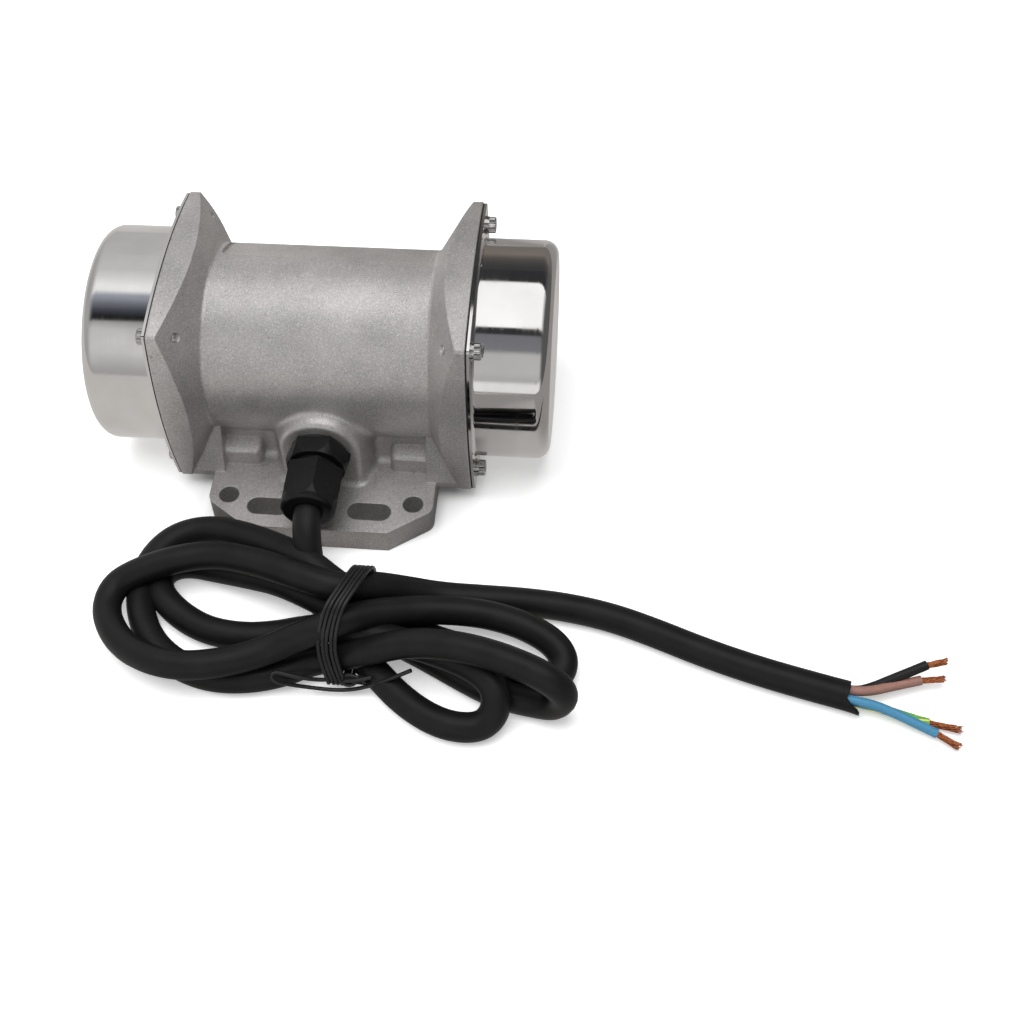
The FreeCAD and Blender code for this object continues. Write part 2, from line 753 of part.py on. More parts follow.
def slot_cutter(gap, x_half):
    """Parallel slot with a round bottom, grown or shrunk by a gap."""
    floor_r = stator_inner_r + slot_lip
    half = slot_width / 2 - gap
    top_r = floor_r + slot_depth - slot_width / 2
    body = block(-x_half, x_half, -half, half, axis_z + floor_r + gap, axis_z + top_r)
    return fuse([body, rod_x(half, -x_half, x_half, 0, axis_z + top_r)])


def stator_core():
    core = rod_x(stator_bore_r - fit, -core_half, core_half)
    core = core.cut(rod_x(stator_inner_r, -core_half - 1, core_half + 1))
    mouth = block(-core_half - 1, core_half + 1, -slot_mouth / 2, slot_mouth / 2,
                  axis_z + stator_inner_r - 1, axis_z + stator_inner_r + slot_lip + 1)
    cutter = fuse([slot_cutter(0, core_half + 1), mouth])
    for i in range(slot_count):
        core = core.cut(about_axis(cutter, slot_turn + i * 360 / slot_count))
    half = (lead_count - 1) / 2 * lead_pitch + lead_wire_r + lead_side_gap
    groove_floor = axis_z + lead_line_r - lead_wire_r - lead_gap
    channel = block(-core_half - 1, core_half + 1, -half, half, groove_floor, axis_z + stator_bore_r + 1)
    return core.cut(about_axis(channel, 90 + lead_angle))


def slot_wedges():
    """Strips that close the slot mouths under the winding."""
    low = stator_inner_r + slot_lip + winding_gap
    half = slot_width / 2 - winding_gap
    strip = block(-core_half - 1, core_half + 1, -half, half, axis_z + low, axis_z + low + wedge_thick)
    return Part.Compound([about_axis(strip, slot_turn + i * 360 / slot_count) for i in range(slot_count)])


def winding_head():
    x0 = core_half + head_start
    x1 = x0 + head_length
    ring = rod_x(head_outer_r, x0, x1).cut(rod_x(head_inner_r + wedge_thick, x0 - 1, x1 + 1))
    outer_edges = [e for e in ring.Edges if e.BoundBox.XMin > x1 - 0.01]
    return ring.makeFillet(head_round, outer_edges)


def stator_winding():
    """Twelve filled slots and the two winding heads."""
    low = axis_z + stator_inner_r + slot_lip + 2 * winding_gap + wedge_thick
    reach = core_half + 2 * head_start
    bar = slot_cutter(winding_gap, reach)
    bar = bar.cut(block(-reach - 1, reach + 1, -slot_width, slot_width, axis_z, low))
    head = winding_head()
    solids = [head, mirrored(head, X)]
    solids += [about_axis(bar, slot_turn + i * 360 / slot_count) for i in range(slot_count)]
    return fuse(solids)


def rotor_bars(radius, x_half):
    bar = rod_x(radius, -x_half, x_half, bar_circle_r)
    return [about_axis(bar, i * 360 / bar_count) for i in range(bar_count)]


def rotor_core():
    core = rod_x(rotor_r, -core_half, core_half).cut(rod_x(shaft_mid_r, -core_half - 1, core_half + 1))
    for bar in rotor_bars(bar_r, core_half + 1):
        core = core.cut(bar)
    return core


def rotor_cage():
    """Cast bars with a short-circuit ring at each end."""
    ring = rod_x(ring_outer_r, core_half, core_half + ring_thick)
    ring = ring.cut(rod_x(ring_inner_r, core_half - 1, core_half + ring_thick + 1))
    return fuse([ring, mirrored(ring, X)] + rotor_bars(bar_r, core_half + 1))


def shaft():
    c = shaft_chamfer
    end_r = bearing_bore_r
    half = [(0, shaft_mid_r), (bearing_inner_x, shaft_mid_r), (bearing_inner_x, end_r)]
    half += [(snap_x, end_r), (snap_x, end_r - snap_groove_depth)]
    groove_end = snap_x + snap_ring_t + 2 * snap_side_gap
    half += [(groove_end, end_r - snap_groove_depth), (groove_end, end_r)]
    half += [(shaft_end_x - c, end_r), (shaft_end_x, end_r - c), (shaft_end_x, 0), (0, 0)]
    right = turned(half)
    body = right.fuse(mirrored(right, X)).removeSplitter()
    for slot in both_sides(key()).values():
        body = body.cut(slot)
    return body


# ================= eccentric weights =================

def key():
    """Parallel key of the fixed weight, on top of the shaft."""
    half = key_width / 2
    z = axis_z + bearing_bore_r
    end_x = fixed_weight_x + fixed_weight_t
    return block(fixed_weight_x, end_x, -half, half, z - key_half_height, z + key_half_height)


def eccentric(x0, thick):
    """Half disc that hangs below the shaft, with a round hub."""
    disc = rod_x(weight_r, x0, x0 + thick)
    disc = disc.cut(block(x0 - 1, x0 + thick + 1, -weight_r - 1, weight_r + 1, axis_z, axis_z + weight_r + 1))
    return fuse([disc, rod_x(weight_hub_r, x0, x0 + thick)])


def fixed_weight():
    bore = rod_x(bearing_bore_r, fixed_weight_x - 1, fixed_weight_x + fixed_weight_t + 1)
    return eccentric(fixed_weight_x, fixed_weight_t).cut(bore).cut(key())


def clamp_rod(radius, y0, length):
    """Cylinder along Y on the clamp screw's line, through the hub of the adjustable weight."""
    place = Vector(moving_weight_x + moving_weight_t / 2, y0, axis_z + clamp_offset)
    return Part.makeCylinder(radius, length, place, Y)


def moving_weight():
    """Second half disc: it is clamped on the shaft and can be turned to set the force."""
    x0, x1 = moving_weight_x, moving_weight_x + moving_weight_t
    body = eccentric(x0, moving_weight_t).cut(rod_x(bearing_bore_r + weight_run_gap, x0 - 1, x1 + 1))
    slit = block(x0 - 1, x1 + 1, -clamp_slit / 2, clamp_slit / 2, axis_z, axis_z + weight_hub_r + 1)
    hole = clamp_rod(clamp_screw_r + fit, -weight_hub_r, 2 * weight_hub_r)
    seat = clamp_rod(clamp_head_r + screw_clearance, clamp_head_y, weight_hub_r)
    return body.cut(slit).cut(hole).cut(seat)


def clamp_screw():
    head = clamp_rod(clamp_head_r, clamp_head_y, clamp_head_h)
    shank = clamp_rod(clamp_screw_r, clamp_head_y + clamp_grip - clamp_shank, clamp_shank)
    return fuse([head, shank])


def snap_ring():
    """Open ring in the shaft groove that keeps the weights on."""
    x0 = snap_x + snap_side_gap
    ring = rod_x(snap_ring_r, x0, x0 + snap_ring_t)
    ring = ring.cut(rod_x(bearing_bore_r - snap_groove_depth, x0 - 1, x0 + snap_ring_t + 1))
    half = snap_opening / 2
    return ring.cut(block(x0 - 1, x0 + snap_ring_t + 1, -half, half, axis_z, axis_z + snap_ring_r + 1))


# ================= cable gland =================

def gland_seat():
    """Flat sealing ring between the boss and the gland."""
    ring = rod_y(gland_af / 2, -boss_face_y - gland_seat_t, -boss_face_y)
    return ring.cut(rod_y(gland_thread_r, -boss_face_y - 2, -boss_face_y + 1))


def gland_body():
    """Hexagon with turned-off corners, a thread into the boss and a hollow neck under the nut."""
    back = boss_face_y + gland_seat_t
    front = gland_front_y
    end_r = gland_af / 2 + gland_corner_over
    corners = turned_gland([(back, 0), (back, end_r + gland_corner_fall), (front, end_r), (front, 0)])
    hexagon = hexagon_prism(gland_af, back, front, gland_turn).common(corners)
    thread_end = gland_thread_y - boss_face_y
    neck_end = -front - gland_neck_y
    thread = rod_y(gland_thread_r, -back - 1, thread_end)
    body = fuse([hexagon, thread, rod_y(gland_neck_r, neck_end, 1 - front)])
    bore = rod_y(cable_r + cable_gap, neck_end - 1, thread_end + 1)
    cup = rod_y(gland_neck_r - gland_neck_wall, neck_end - 1, -front - 1)
    return body.cut(bore).cut(cup)


def gland_nut():
    """Dome nut: hexagonal at the back, rounded towards the cable."""
    corner_r = nut_af / math.sqrt(3)
    hex_end = nut_back_y + nut_hex_y
    dome = [(nut_back_y, 0), (nut_back_y, corner_r), (hex_end, corner_r)]
    for i in range(1, nut_steps + 1):
        angle = math.radians(90 * i / nut_steps)
        dome.append((hex_end + (nut_face_y - hex_end) * math.sin(angle),
                     nut_dome_r + (corner_r - nut_dome_r) * math.cos(angle)))
    dome.append((nut_face_y, 0))
    body = hexagon_prism(nut_af, nut_back_y, nut_face_y, nut_turn).common(turned_gland(dome))
    body = body.cut(rod_y(gland_neck_r + nut_gap, nut_lip - nut_face_y, 1 - nut_back_y))
    return body.cut(rod_y(cable_r + cable_gap, -nut_face_y - 1, -nut_back_y))


def gland_insert():
    """Rubber sleeve that seals on the cable."""
    outer = gland_neck_r - gland_neck_wall - claw_wall - claw_clearance
    sleeve = rod_y(outer, -claw_end_y, -claw_start_y)
    return sleeve.cut(rod_y(cable_r + sleeve_gap, -claw_end_y - 1, -claw_start_y + 1))


def gland_claw():
    """Slit collar that presses the sleeve onto the cable."""
    outer = gland_neck_r - gland_neck_wall - claw_clearance
    ring = rod_y(outer, -claw_end_y, -claw_start_y)
    ring = ring.cut(rod_y(outer - claw_wall, -claw_end_y - 1, -claw_start_y + 1))
    middle = (claw_start_y + claw_end_y) / 2
    for i in range(claw_count):
        slit = block(-claw_slit / 2, claw_slit / 2, -claw_end_y - 1, -middle, gland_z, gland_z + outer + 1)
        slit.rotate(Vector(0, 0, gland_z), Y, i * 360 / claw_count)
        ring = ring.cut(slit)
    return ring


# ================= cable =================

def rounded_path(route, name):
    """Straight runs joined by tangent arcs; each arc takes the same share of its shorter run."""
    points = [Vector(*p) for p in route]
    edges = []
    radii = []
    start = points[0]
    for i in range(1, len(points) - 1):
        before = points[i] - points[i - 1]
        after = points[i + 1] - points[i]
        turn = before.getAngle(after)
        trim = bend_share * min(before.Length, after.Length)
        radius = trim / math.tan(turn / 2)
        radii.append(radius)
        a = points[i] - before.normalize() * trim
        b = points[i] + after.normalize() * trim
        inward = (after - before).normalize()
        middle = points[i] + inward * (radius / math.cos(turn / 2) - radius)
        edges += [Part.LineSegment(start, a).toShape(), Part.Arc(a, middle, b).toShape()]
        start = b
    edges.append(Part.LineSegment(start, points[-1]).toShape())
    print(name, "radii", " ".join("%.1f" % r for r in radii))
    return Part.Wire(edges)


def tube(route, radius, name):
    path = rounded_path(route, name)
    first = path.Edges[0]
    start = first.valueAt(first.FirstParameter)
    heading = first.tangentAt(first.FirstParameter)
    section = Part.Wire([Part.makeCircle(radius, start, heading)])
    solid = path.makePipeShell([section], True, False)
    expected = math.pi * radius ** 2 * path.Length
    print(name, "length %.1f volume ratio %.4f" % (path.Length, solid.Volume / expected))
    return solid


def core_route(angle, rest):
    """Route of one core; its first run is square to the end of the sheath."""
    end, before = Vector(*tail_route[-1]), Vector(*tail_route[-2])
    heading = (end - before).normalize()
    side = Z.cross(heading).normalize()
    turn = math.radians(angle)
    start = end + side * (core_ring_r * math.cos(turn)) + Z * (core_ring_r * math.sin(turn))
    return [tuple(start), tuple(start + heading * core_start_run)] + rest


def outline_slab(outline, z0, z1):
    """Closed outline of arcs, each over three points in a row, raised between two heights."""
    ring = outline + outline[:1]
    points = [Vector(x, y, z0) for x, y in ring]
    edges = [arc(*points[i:i + 3]) for i in range(0, len(points) - 2, 2)]
    return filled(edges).extrude(Vector(0, 0, z1 - z0))


def cable_bundle():
    """Closed body of the outer shape of the tied loops: the lower layers, and the waist with the top loop."""
    low = outline_slab(low_outline, 0, hank_low_z)
    return fuse([low, outline_slab(high_outline, hank_low_z - hank_overlap, hank_high_z)])


def tie_loop(grow):
    """Oval section around the waist of the bundle."""
    half = tie_width / 2
    top_z = hank_high_z + tie_gap + grow
    slab = block(tie_x - half, tie_x + half, tie_front_y - grow, tie_back_y + grow, tie_gap / 2, top_z)
    along = [e for e in slab.Edges if e.BoundBox.XLength > 1]
    return slab.makeFillet(tie_corner_r + grow, along)


def cable_tie():
    """Wound tie around the waist, with its two twisted tails."""
    band = tie_loop(tie_thick).cut(tie_loop(0).translated(Vector(0, 0, tie_thick / 4)))
    tails = [tube(tie_left_tail, tie_tail_r, "tie_tail"), tube(tie_right_tail, tie_tail_r, "tie_tail")]
    return fuse([band, Part.makeSphere(knot_r, Vector(*tie_left_tail[0]))] + tails)


def copper_end(route):
    """Bare strands past the end of a core, as one tapering rod."""
    end, before = Vector(*route[-1]), Vector(*route[-2])
    heading = (end - before).normalize()
    return Part.makeCone(copper_r, copper_r * copper_splay, copper_length, end, heading)


def cable_entry():
    """Straight piece of the cable inside the gland."""
    return rod_y(cable_r, -cable_start_y, -cable_stop_y)


def inner_leads():
    """Four leads from the end of the sheath, along the groove of the stator core to the winding head."""
    wires = []
    out = math.radians(lead_angle)
    for i in range(lead_count):
        across = (i - (lead_count - 1) / 2) * lead_pitch
        y = -lead_line_r * math.cos(out) + across * math.sin(out)
        z = axis_z - lead_line_r * math.sin(out) - across * math.cos(out)
        route = [(0, -cable_stop_y, z), (0, y, z), (-core_half - head_length, y, z)]
        wires.append(tube(route, lead_wire_r, "inner_lead"))
    return Part.Compound(wires)


# ================= write every node =================

export(housing(), "body_casting")

paired = {
    "gasket": gasket(), "cover": cover(), "cover_screws": at_corners(cover_screw),
    "flat_washers": at_corners(flat_washer), "spring_washers": at_corners(spring_washer),
    "end_shield": end_shield(), "shield_screws": shield_screws(),
    "bearing_outer_race": race(bearing_r - race_wall, bearing_r),
    "bearing_inner_race": race(bearing_bore_r, bearing_bore_r + race_wall),
    "bearing_balls": balls(), "bearing_cage": ball_cage(), "end_washer": end_washer(),
    "key": key(), "fixed_weight": fixed_weight(), "adjustable_weight": moving_weight(),
    "clamp_screw": clamp_screw(), "snap_ring": snap_ring(),
}
for name, shape in paired.items():
    for side, placed in both_sides(shape).items():
        export(placed, side + "_" + name)

export(stator_core(), "stator_core")
export(stator_winding(), "stator_winding")
export(slot_wedges(), "slot_wedges")
export(rotor_core(), "rotor_core")
export(rotor_cage(), "rotor_cage")
export(shaft(), "shaft")
export(gland_seat(), "gland_seal_ring")
export(gland_body(), "gland_body")
export(gland_insert(), "gland_insert")
export(gland_claw(), "gland_claw")
export(gland_nut(), "gland_nut")
export(cable_entry(), "cable_entry")
export(inner_leads(), "inner_leads")
export(tube(lead_route, cable_r, "cable_lead"), "cable_lead")
export(cable_bundle(), "cable_bundle")
export(tube(tail_route, cable_r, "cable_tail"), "cable_tail")
export(cable_tie(), "cable_tie")
copper = []
for colour, (angle, rest) in core_routes.items():
    route = core_route(angle, rest)
    export(tube(route, core_wire_r, "core_" + colour), "core_" + colour)
    copper.append(copper_end(route))
export(Part.Compound(copper), "copper_ends")
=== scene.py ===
import json
import math
import bpy
import bmesh
from mathutils import Matrix, Vector


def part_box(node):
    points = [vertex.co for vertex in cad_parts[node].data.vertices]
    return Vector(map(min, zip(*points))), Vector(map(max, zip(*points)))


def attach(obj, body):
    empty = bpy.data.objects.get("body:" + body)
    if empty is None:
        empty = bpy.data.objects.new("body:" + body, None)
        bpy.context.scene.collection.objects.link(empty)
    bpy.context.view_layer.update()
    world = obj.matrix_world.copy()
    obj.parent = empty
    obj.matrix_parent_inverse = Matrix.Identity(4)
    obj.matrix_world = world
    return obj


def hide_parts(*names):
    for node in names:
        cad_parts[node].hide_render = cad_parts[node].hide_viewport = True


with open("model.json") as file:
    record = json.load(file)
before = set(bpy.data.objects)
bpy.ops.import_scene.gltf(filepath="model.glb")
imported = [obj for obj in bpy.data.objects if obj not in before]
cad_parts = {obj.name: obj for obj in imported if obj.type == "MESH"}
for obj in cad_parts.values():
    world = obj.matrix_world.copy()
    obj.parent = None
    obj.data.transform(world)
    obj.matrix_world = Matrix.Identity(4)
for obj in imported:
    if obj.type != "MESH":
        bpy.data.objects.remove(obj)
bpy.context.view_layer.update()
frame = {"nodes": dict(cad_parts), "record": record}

bl_info = {
    "name": "Vibration motor",
    "version": (1, 0, 0),
    "blender": (4, 5, 0),
    "location": "View3D > Sidebar > Motor",
    "description": "Finishes, cable and small parts of a three-phase vibration motor",
    "category": "Object",
}

MM = 0.001
NODES = frame["nodes"]
SLOT_OF = {part["node"]: part["material_slot"] for part in frame["record"]["subparts"]}


# ---------------------------------------------------------------- settings

class MotorCamera(bpy.types.PropertyGroup):
    place: bpy.props.FloatVectorProperty(
        name="Place", description="Where the camera stands", size=3, subtype="TRANSLATION", unit="LENGTH",
        default=(0.08639, -0.32655, 0.39173))
    turn: bpy.props.FloatVectorProperty(
        name="Turn", description="Pan to the left, tilt below the horizon, and roll", size=3, subtype="EULER",
        default=(math.radians(-8.790), math.radians(49.055), math.radians(3.888)))
    lens: bpy.props.FloatProperty(
        name="Lens", description="Focal length on a 36 mm wide sensor, in millimetres", min=10, default=52.63)
    shift: bpy.props.FloatVectorProperty(
        name="Shift", description="How far the picture is cropped off the lens axis, in picture widths",
        size=2, default=(0.0659, -0.1072))


class MotorLight(bpy.types.PropertyGroup):
    floor_colour: bpy.props.FloatVectorProperty(
        name="Floor", description="Colour of the floor", size=3, subtype="COLOR", min=0, max=1,
        default=(0.90, 0.90, 0.90))
    floor_glow: bpy.props.FloatProperty(
        name="Floor glow", description="White that only the camera sees on the floor", min=0,
        default=0.35)
    # Painted reflection: the floor glows at this level for polished parts only.
    floor_painted_reflection: bpy.props.FloatProperty(
        name="Mirrored floor", description="Level of the floor as polished parts see it", min=0, default=0.68)
    key_power: bpy.props.FloatProperty(
        name="Key light", description="Power of the large soft box above", unit="POWER", min=0, default=9.0)
    side_power: bpy.props.FloatProperty(
        name="Side light", description="Power of the soft box on the left", unit="POWER", min=0, default=1.2)
    room: bpy.props.FloatProperty(
        name="Room", description="Strength of the even light of the room", min=0, default=0.36)
    mirrored: bpy.props.FloatProperty(
        name="Mirrored room", description="Strength of the room as polished parts see it", min=0,
        default=1.35)


class MotorCable(bpy.types.PropertyGroup):
    diameter: bpy.props.FloatProperty(
        name="Cable diameter", description="Outer diameter of the sheath", unit="LENGTH", min=0.001,
        default=0.0088)
    core_diameter: bpy.props.FloatProperty(
        name="Core diameter", description="Outer diameter of one insulated core", unit="LENGTH", min=0.0005,
        default=0.0028)
    strands: bpy.props.IntProperty(
        name="Strands", description="Copper strands in one core", min=3, default=24)
    strand_diameter: bpy.props.FloatProperty(
        name="Strand diameter", description="Diameter of one copper strand", unit="LENGTH", min=0.00005,
        default=0.00030)
    tie_wire: bpy.props.FloatProperty(
        name="Tie wire", description="Diameter of the wire of the tie", unit="LENGTH", min=0.0003,
        default=0.00125)
    tie_turns: bpy.props.IntProperty(
        name="Tie turns", description="Turns of the tie around the cable", min=1, default=5)


class MotorFasteners(bpy.types.PropertyGroup):
    head_radius: bpy.props.FloatProperty(
        name="Head radius", description="Radius of a cover screw's head", unit="LENGTH", default=0.0026)
    head_height: bpy.props.FloatProperty(
        name="Head height", description="Height of a cover screw's head", unit="LENGTH", default=0.0021)
    socket_radius: bpy.props.FloatProperty(
        name="Socket radius", description="Corner radius of the hexagon socket", unit="LENGTH",
        default=0.00144)
    shank_radius: bpy.props.FloatProperty(
        name="Shank radius", description="Radius of a cover screw's shank", unit="LENGTH", default=0.0015)
    knurls: bpy.props.IntProperty(
        name="Knurls", description="Grooves around the head of a cover screw", min=8, default=30)
    seed: bpy.props.IntProperty(name="Seed", description="Changes how far each screw is turned", default=7)


# ---------------------------------------------------------------- shader maths

def connect(tree, value, socket):
    """Links a signal to a socket, or writes a plain value on it."""
    if isinstance(value, Signal):
        tree.links.new(value.socket, socket)
    else:
        socket.default_value = value


class Signal:
    """The output of a shader node. Arithmetic on it adds Math nodes."""

    def __init__(self, tree, socket):
        self.tree = tree
        self.socket = socket

    def maths(self, operation, first, second=0.0, clamp=False):
        node = self.tree.nodes.new("ShaderNodeMath")
        node.operation = operation
        node.use_clamp = clamp
        connect(self.tree, first, node.inputs[0])
        connect(self.tree, second, node.inputs[1])
        return Signal(self.tree, node.outputs[0])

    def __add__(self, other):
        return self.maths("ADD", self, other)

    def __radd__(self, other):
        return self.maths("ADD", other, self)

    def __sub__(self, other):
        return self.maths("SUBTRACT", self, other)

    def __rsub__(self, other):
        return self.maths("SUBTRACT", other, self)

    def __mul__(self, other):
        return self.maths("MULTIPLY", self, other)

    def __rmul__(self, other):
        return self.maths("MULTIPLY", other, self)

    def __truediv__(self, other):
        return self.maths("DIVIDE", self, other)

    def __pow__(self, other):
        return self.maths("POWER", self, other)

    def __gt__(self, other):
        return self.maths("GREATER_THAN", self, other)

    def __mod__(self, other):
        return self.maths("FLOORED_MODULO", self, other)

    def __abs__(self):
        return self.maths("ABSOLUTE", self)

    def held(self):
        """Clamped between nothing and one."""
        return self.maths("MULTIPLY", self, 1.0, clamp=True)

    def cosine(self):
        return self.maths("COSINE", self)

    def sine(self):
        return self.maths("SINE", self)


class Tree:
    """A node tree under construction."""

    def __init__(self, tree):
        self.tree = tree
        tree.nodes.clear()

    def node(self, kind, settings=(), values=()):
        """Adds a node: its settings first, then the values or links of its inputs."""
        made = self.tree.nodes.new(kind)
        for name, value in dict(settings).items():
            if name == "stops":
                self.set_stops(made, value)
            else:
                setattr(made, name, value)
        for name, value in dict(values).items():
            connect(self.tree, value, made.inputs[name])
        return made

    def set_stops(self, made, stops):
        ramp = made.color_ramp
        while len(ramp.elements) < len(stops):
            ramp.elements.new(0.5)
        for element, (place, level) in zip(ramp.elements, stops):
            element.position = place
            element.color = (*level, 1.0) if isinstance(level, tuple) else (level, level, level, 1.0)

    def out(self, made, name=0):
        return Signal(self.tree, made.outputs[name])

    def ramp(self, value, stops):
        return self.out(self.node("ShaderNodeValToRGB", {"stops": stops}, {"Fac": value}), "Color")

    def grades(self, value, low, high):
        """The value stretched so that low becomes 0 and high becomes 1."""
        return ((value - low) / (high - low)).held()

    def mix(self, share, one, other):
        """Mix of two colours."""
        made = self.node("ShaderNodeMix", {"data_type": "RGBA"})
        for number, value in ((0, share), (6, one), (7, other)):
            connect(self.tree, value, made.inputs[number])
        return self.out(made, 2)

    def vector(self, operation, first, second):
        """Vector maths; SCALE takes a number as its second."""
        made = self.node("ShaderNodeVectorMath", {"operation": operation})
        connect(self.tree, first, made.inputs[0])
        connect(self.tree, second, made.inputs[3 if operation == "SCALE" else 1])
        return self.out(made, "Vector")

    def parts(self, value):
        """The three numbers of a vector."""
        made = self.node("ShaderNodeSeparateXYZ", {}, {"Vector": value})
        return tuple(self.out(made, name) for name in "XYZ")

    def seen(self, path):
        """1 for rays straight from the camera or through something clear, and 0 for all others."""
        return (self.out(path, "Is Camera Ray") + self.out(path, "Is Transmission Ray")).held()


class Finish(Tree):
    """One material: a Principled shader and the nodes that feed it."""

    def __init__(self, name, base, roughness, metallic=0.0, specular=0.5, coat=0.0, coat_roughness=0.1):
        self.material = bpy.data.materials.new(name)
        self.material.use_nodes = True
        super().__init__(self.material.node_tree)
        self.shader = self.node("ShaderNodeBsdfPrincipled", {}, {
            "Base Color": (*base, 1.0), "Roughness": roughness, "Metallic": metallic,
            "Specular IOR Level": specular, "Coat Weight": coat, "Coat Roughness": coat_roughness})
        self.node("ShaderNodeOutputMaterial", {}, {"Surface": self.out(self.shader)})
        self.bumped = None

    def noise(self, size, detail=2.0, rough=0.5, stretch=(1.0, 1.0, 1.0), seed=0.0):
        """Noise from 0 to 1 with spots of about this size in millimetres, longer where stretch is small."""
        coords = self.out(self.node("ShaderNodeTexCoord"), "Object")
        place = self.out(self.node("ShaderNodeMapping", {}, {"Vector": coords, "Scale": stretch}))
        return self.out(self.node("ShaderNodeTexNoise", {"noise_dimensions": "4D"}, {
            "Vector": place, "Scale": 1.0 / (size * MM), "Detail": detail, "Roughness": rough, "W": seed}))

    def colour(self, value):
        connect(self.tree, value, self.shader.inputs["Base Color"])

    def roughness(self, value):
        connect(self.tree, value, self.shader.inputs["Roughness"])

    def bump(self, height, depth, strength=1.0):
        """Relief of this depth in millimetres; a second one lies on the first."""
        values = {"Height": height, "Distance": depth * MM, "Strength": strength}
        if self.bumped is not None:
            values["Normal"] = self.bumped
        self.set_normal(self.node("ShaderNodeBump", {}, values))

    def soften_edges(self, radius):
        """Edges catch the light as if they had this radius in millimetres."""
        self.set_normal(self.node("ShaderNodeBevel", {"samples": 6}, {"Radius": radius * MM}))

    def set_normal(self, made):
        self.bumped = self.out(made, "Normal")
        connect(self.tree, self.bumped, self.shader.inputs["Normal"])


class Recipe(Tree):
    """A Geometry Nodes group with named inputs. It ends in plain geometry with its finish."""

    def __init__(self, name, inputs):
        super().__init__(bpy.data.node_groups.new(name, "GeometryNodeTree"))
        self.tree.is_modifier = True
        for label, kind in inputs.items():
            self.tree.interface.new_socket(label, in_out="INPUT", socket_type="NodeSocket" + kind)
        self.tree.interface.new_socket("Geometry", in_out="OUTPUT", socket_type="NodeSocketGeometry")
        self.given = self.node("NodeGroupInput")

    def value(self, label):
        return self.out(self.given, label)

    def shape(self, kind, values=(), settings=()):
        """The first output of a new node."""
        return self.out(self.node(kind, settings, values))

    def combine(self, x=0.0, y=0.0, z=0.0):
        """A vector of three numbers."""
        return self.shape("ShaderNodeCombineXYZ", {"X": x, "Y": y, "Z": z})

    def chance(self, index):
        """A random number from 0 to 1 for each index, which follows from the seed."""
        made = self.node("FunctionNodeRandomValue", {"data_type": "FLOAT"},
                         {"ID": index, "Seed": self.value("Seed")})
        return self.out(made, 1)

    def end(self, shape, material):
        real = self.shape("GeometryNodeRealizeInstances", {"Geometry": shape})
        dressed = self.shape("GeometryNodeSetMaterial", {"Geometry": real, "Material": material})
        self.node("NodeGroupOutput", {}, {"Geometry": dressed})

    def grow(self, name, values):
        """A new piece made by the recipe with these values, as a plain mesh."""
        piece = link(name, bpy.data.meshes.new(name))
        step = piece.modifiers.new(self.tree.name, "NODES")
        step.node_group = self.tree
        for item in self.tree.interface.items_tree:
            if item.in_out == "INPUT":
                step[item.identifier] = values[item.name]
        mesh = plain_mesh(piece)
        piece.modifiers.remove(step)
        piece.data = mesh
        return piece


def shade(level, tint=(1.0, 1.0, 1.0)):
    return tuple(level * part for part in tint) + (1.0,)


# ---------------------------------------------------------------- finishes

def cast_aluminium():
    """Sand-cast and blasted aluminium: grain with painted glints, small pits painted darker as painted shade
    in them, and cloudy tone.
    """
    warm = (1.0, 0.965, 0.950)
    f = Finish("cast_aluminium", (0.42, 0.41, 0.40), 0.5, metallic=0.75, specular=0.4)
    f.soften_edges(0.6)
    grain = f.noise(0.5, rough=0.7)
    clouds = f.noise(16.0, detail=3.0, rough=0.55)
    pits = f.grades(f.noise(0.9, detail=1.0, seed=4.0), 0.70, 0.78)
    # Painted glints: specks of painted highlight in the base colour, standing in for sparkle off the grain.
    painted_glints = f.grades(f.noise(0.42, detail=1.0, seed=9.0), 0.56, 0.70)
    tone = f.grades(grain * 0.6 + clouds * 0.4, 0.30, 0.70)
    base = f.mix(tone, shade(0.32, warm), shade(0.68, warm))
    # Painted highlight: the glint specks lighten the base colour.
    base = f.mix(painted_glints * 0.38, base, shade(0.92, warm))
    # Painted shade: the colour darkens in the small pits, where shade falls in the recess.
    f.colour(f.mix(pits * 0.45, base, shade(0.16, warm)))
    f.roughness(0.36 + clouds * 0.10 + pits * 0.2)
    f.bump(f.noise(3.0), 0.12, 0.5)
    f.bump(grain, 0.09, 0.9)
    f.bump(1.0 - pits, 0.08, 0.8)
    return f.material


def polished_stainless():
    """Mirror-polished sheet with faint streaks round the shaft."""
    f = Finish("polished_stainless", (0.70, 0.685, 0.675), 0.07, metallic=1.0)
    streaks = f.noise(1.0, stretch=(1.0, 0.035, 0.035))
    smears = f.noise(12.0, detail=3.0)
    clean, smeared = shade(0.72, (1.0, 0.985, 0.97)), shade(0.66, (1.0, 0.975, 0.955))
    f.colour(f.mix(f.grades(smears, 0.35, 0.75), clean, smeared))
    f.roughness(0.045 + f.grades(streaks, 0.35, 0.75) * 0.05 + f.grades(smears, 0.4, 0.8) * 0.07)
    f.bump(f.noise(20.0, detail=1.0), 0.10, 0.4)
    f.bump(streaks, 0.006, 0.6)
    return f.material


def machined(name, level, rough, tint=(1.0, 1.0, 1.0)):
    """Turned or ground metal with fine lines round the shaft."""
    f = Finish(name, tuple(level * part for part in tint), rough, metallic=1.0)
    lines = f.noise(0.3, stretch=(1.0, 0.04, 0.04))
    f.colour(f.mix(f.grades(f.noise(4.0), 0.3, 0.7), shade(level * 0.88, tint), shade(level, tint)))
    f.roughness(rough + f.grades(lines, 0.3, 0.7) * 0.12)
    f.bump(lines, 0.01, 0.5)
    return f.material


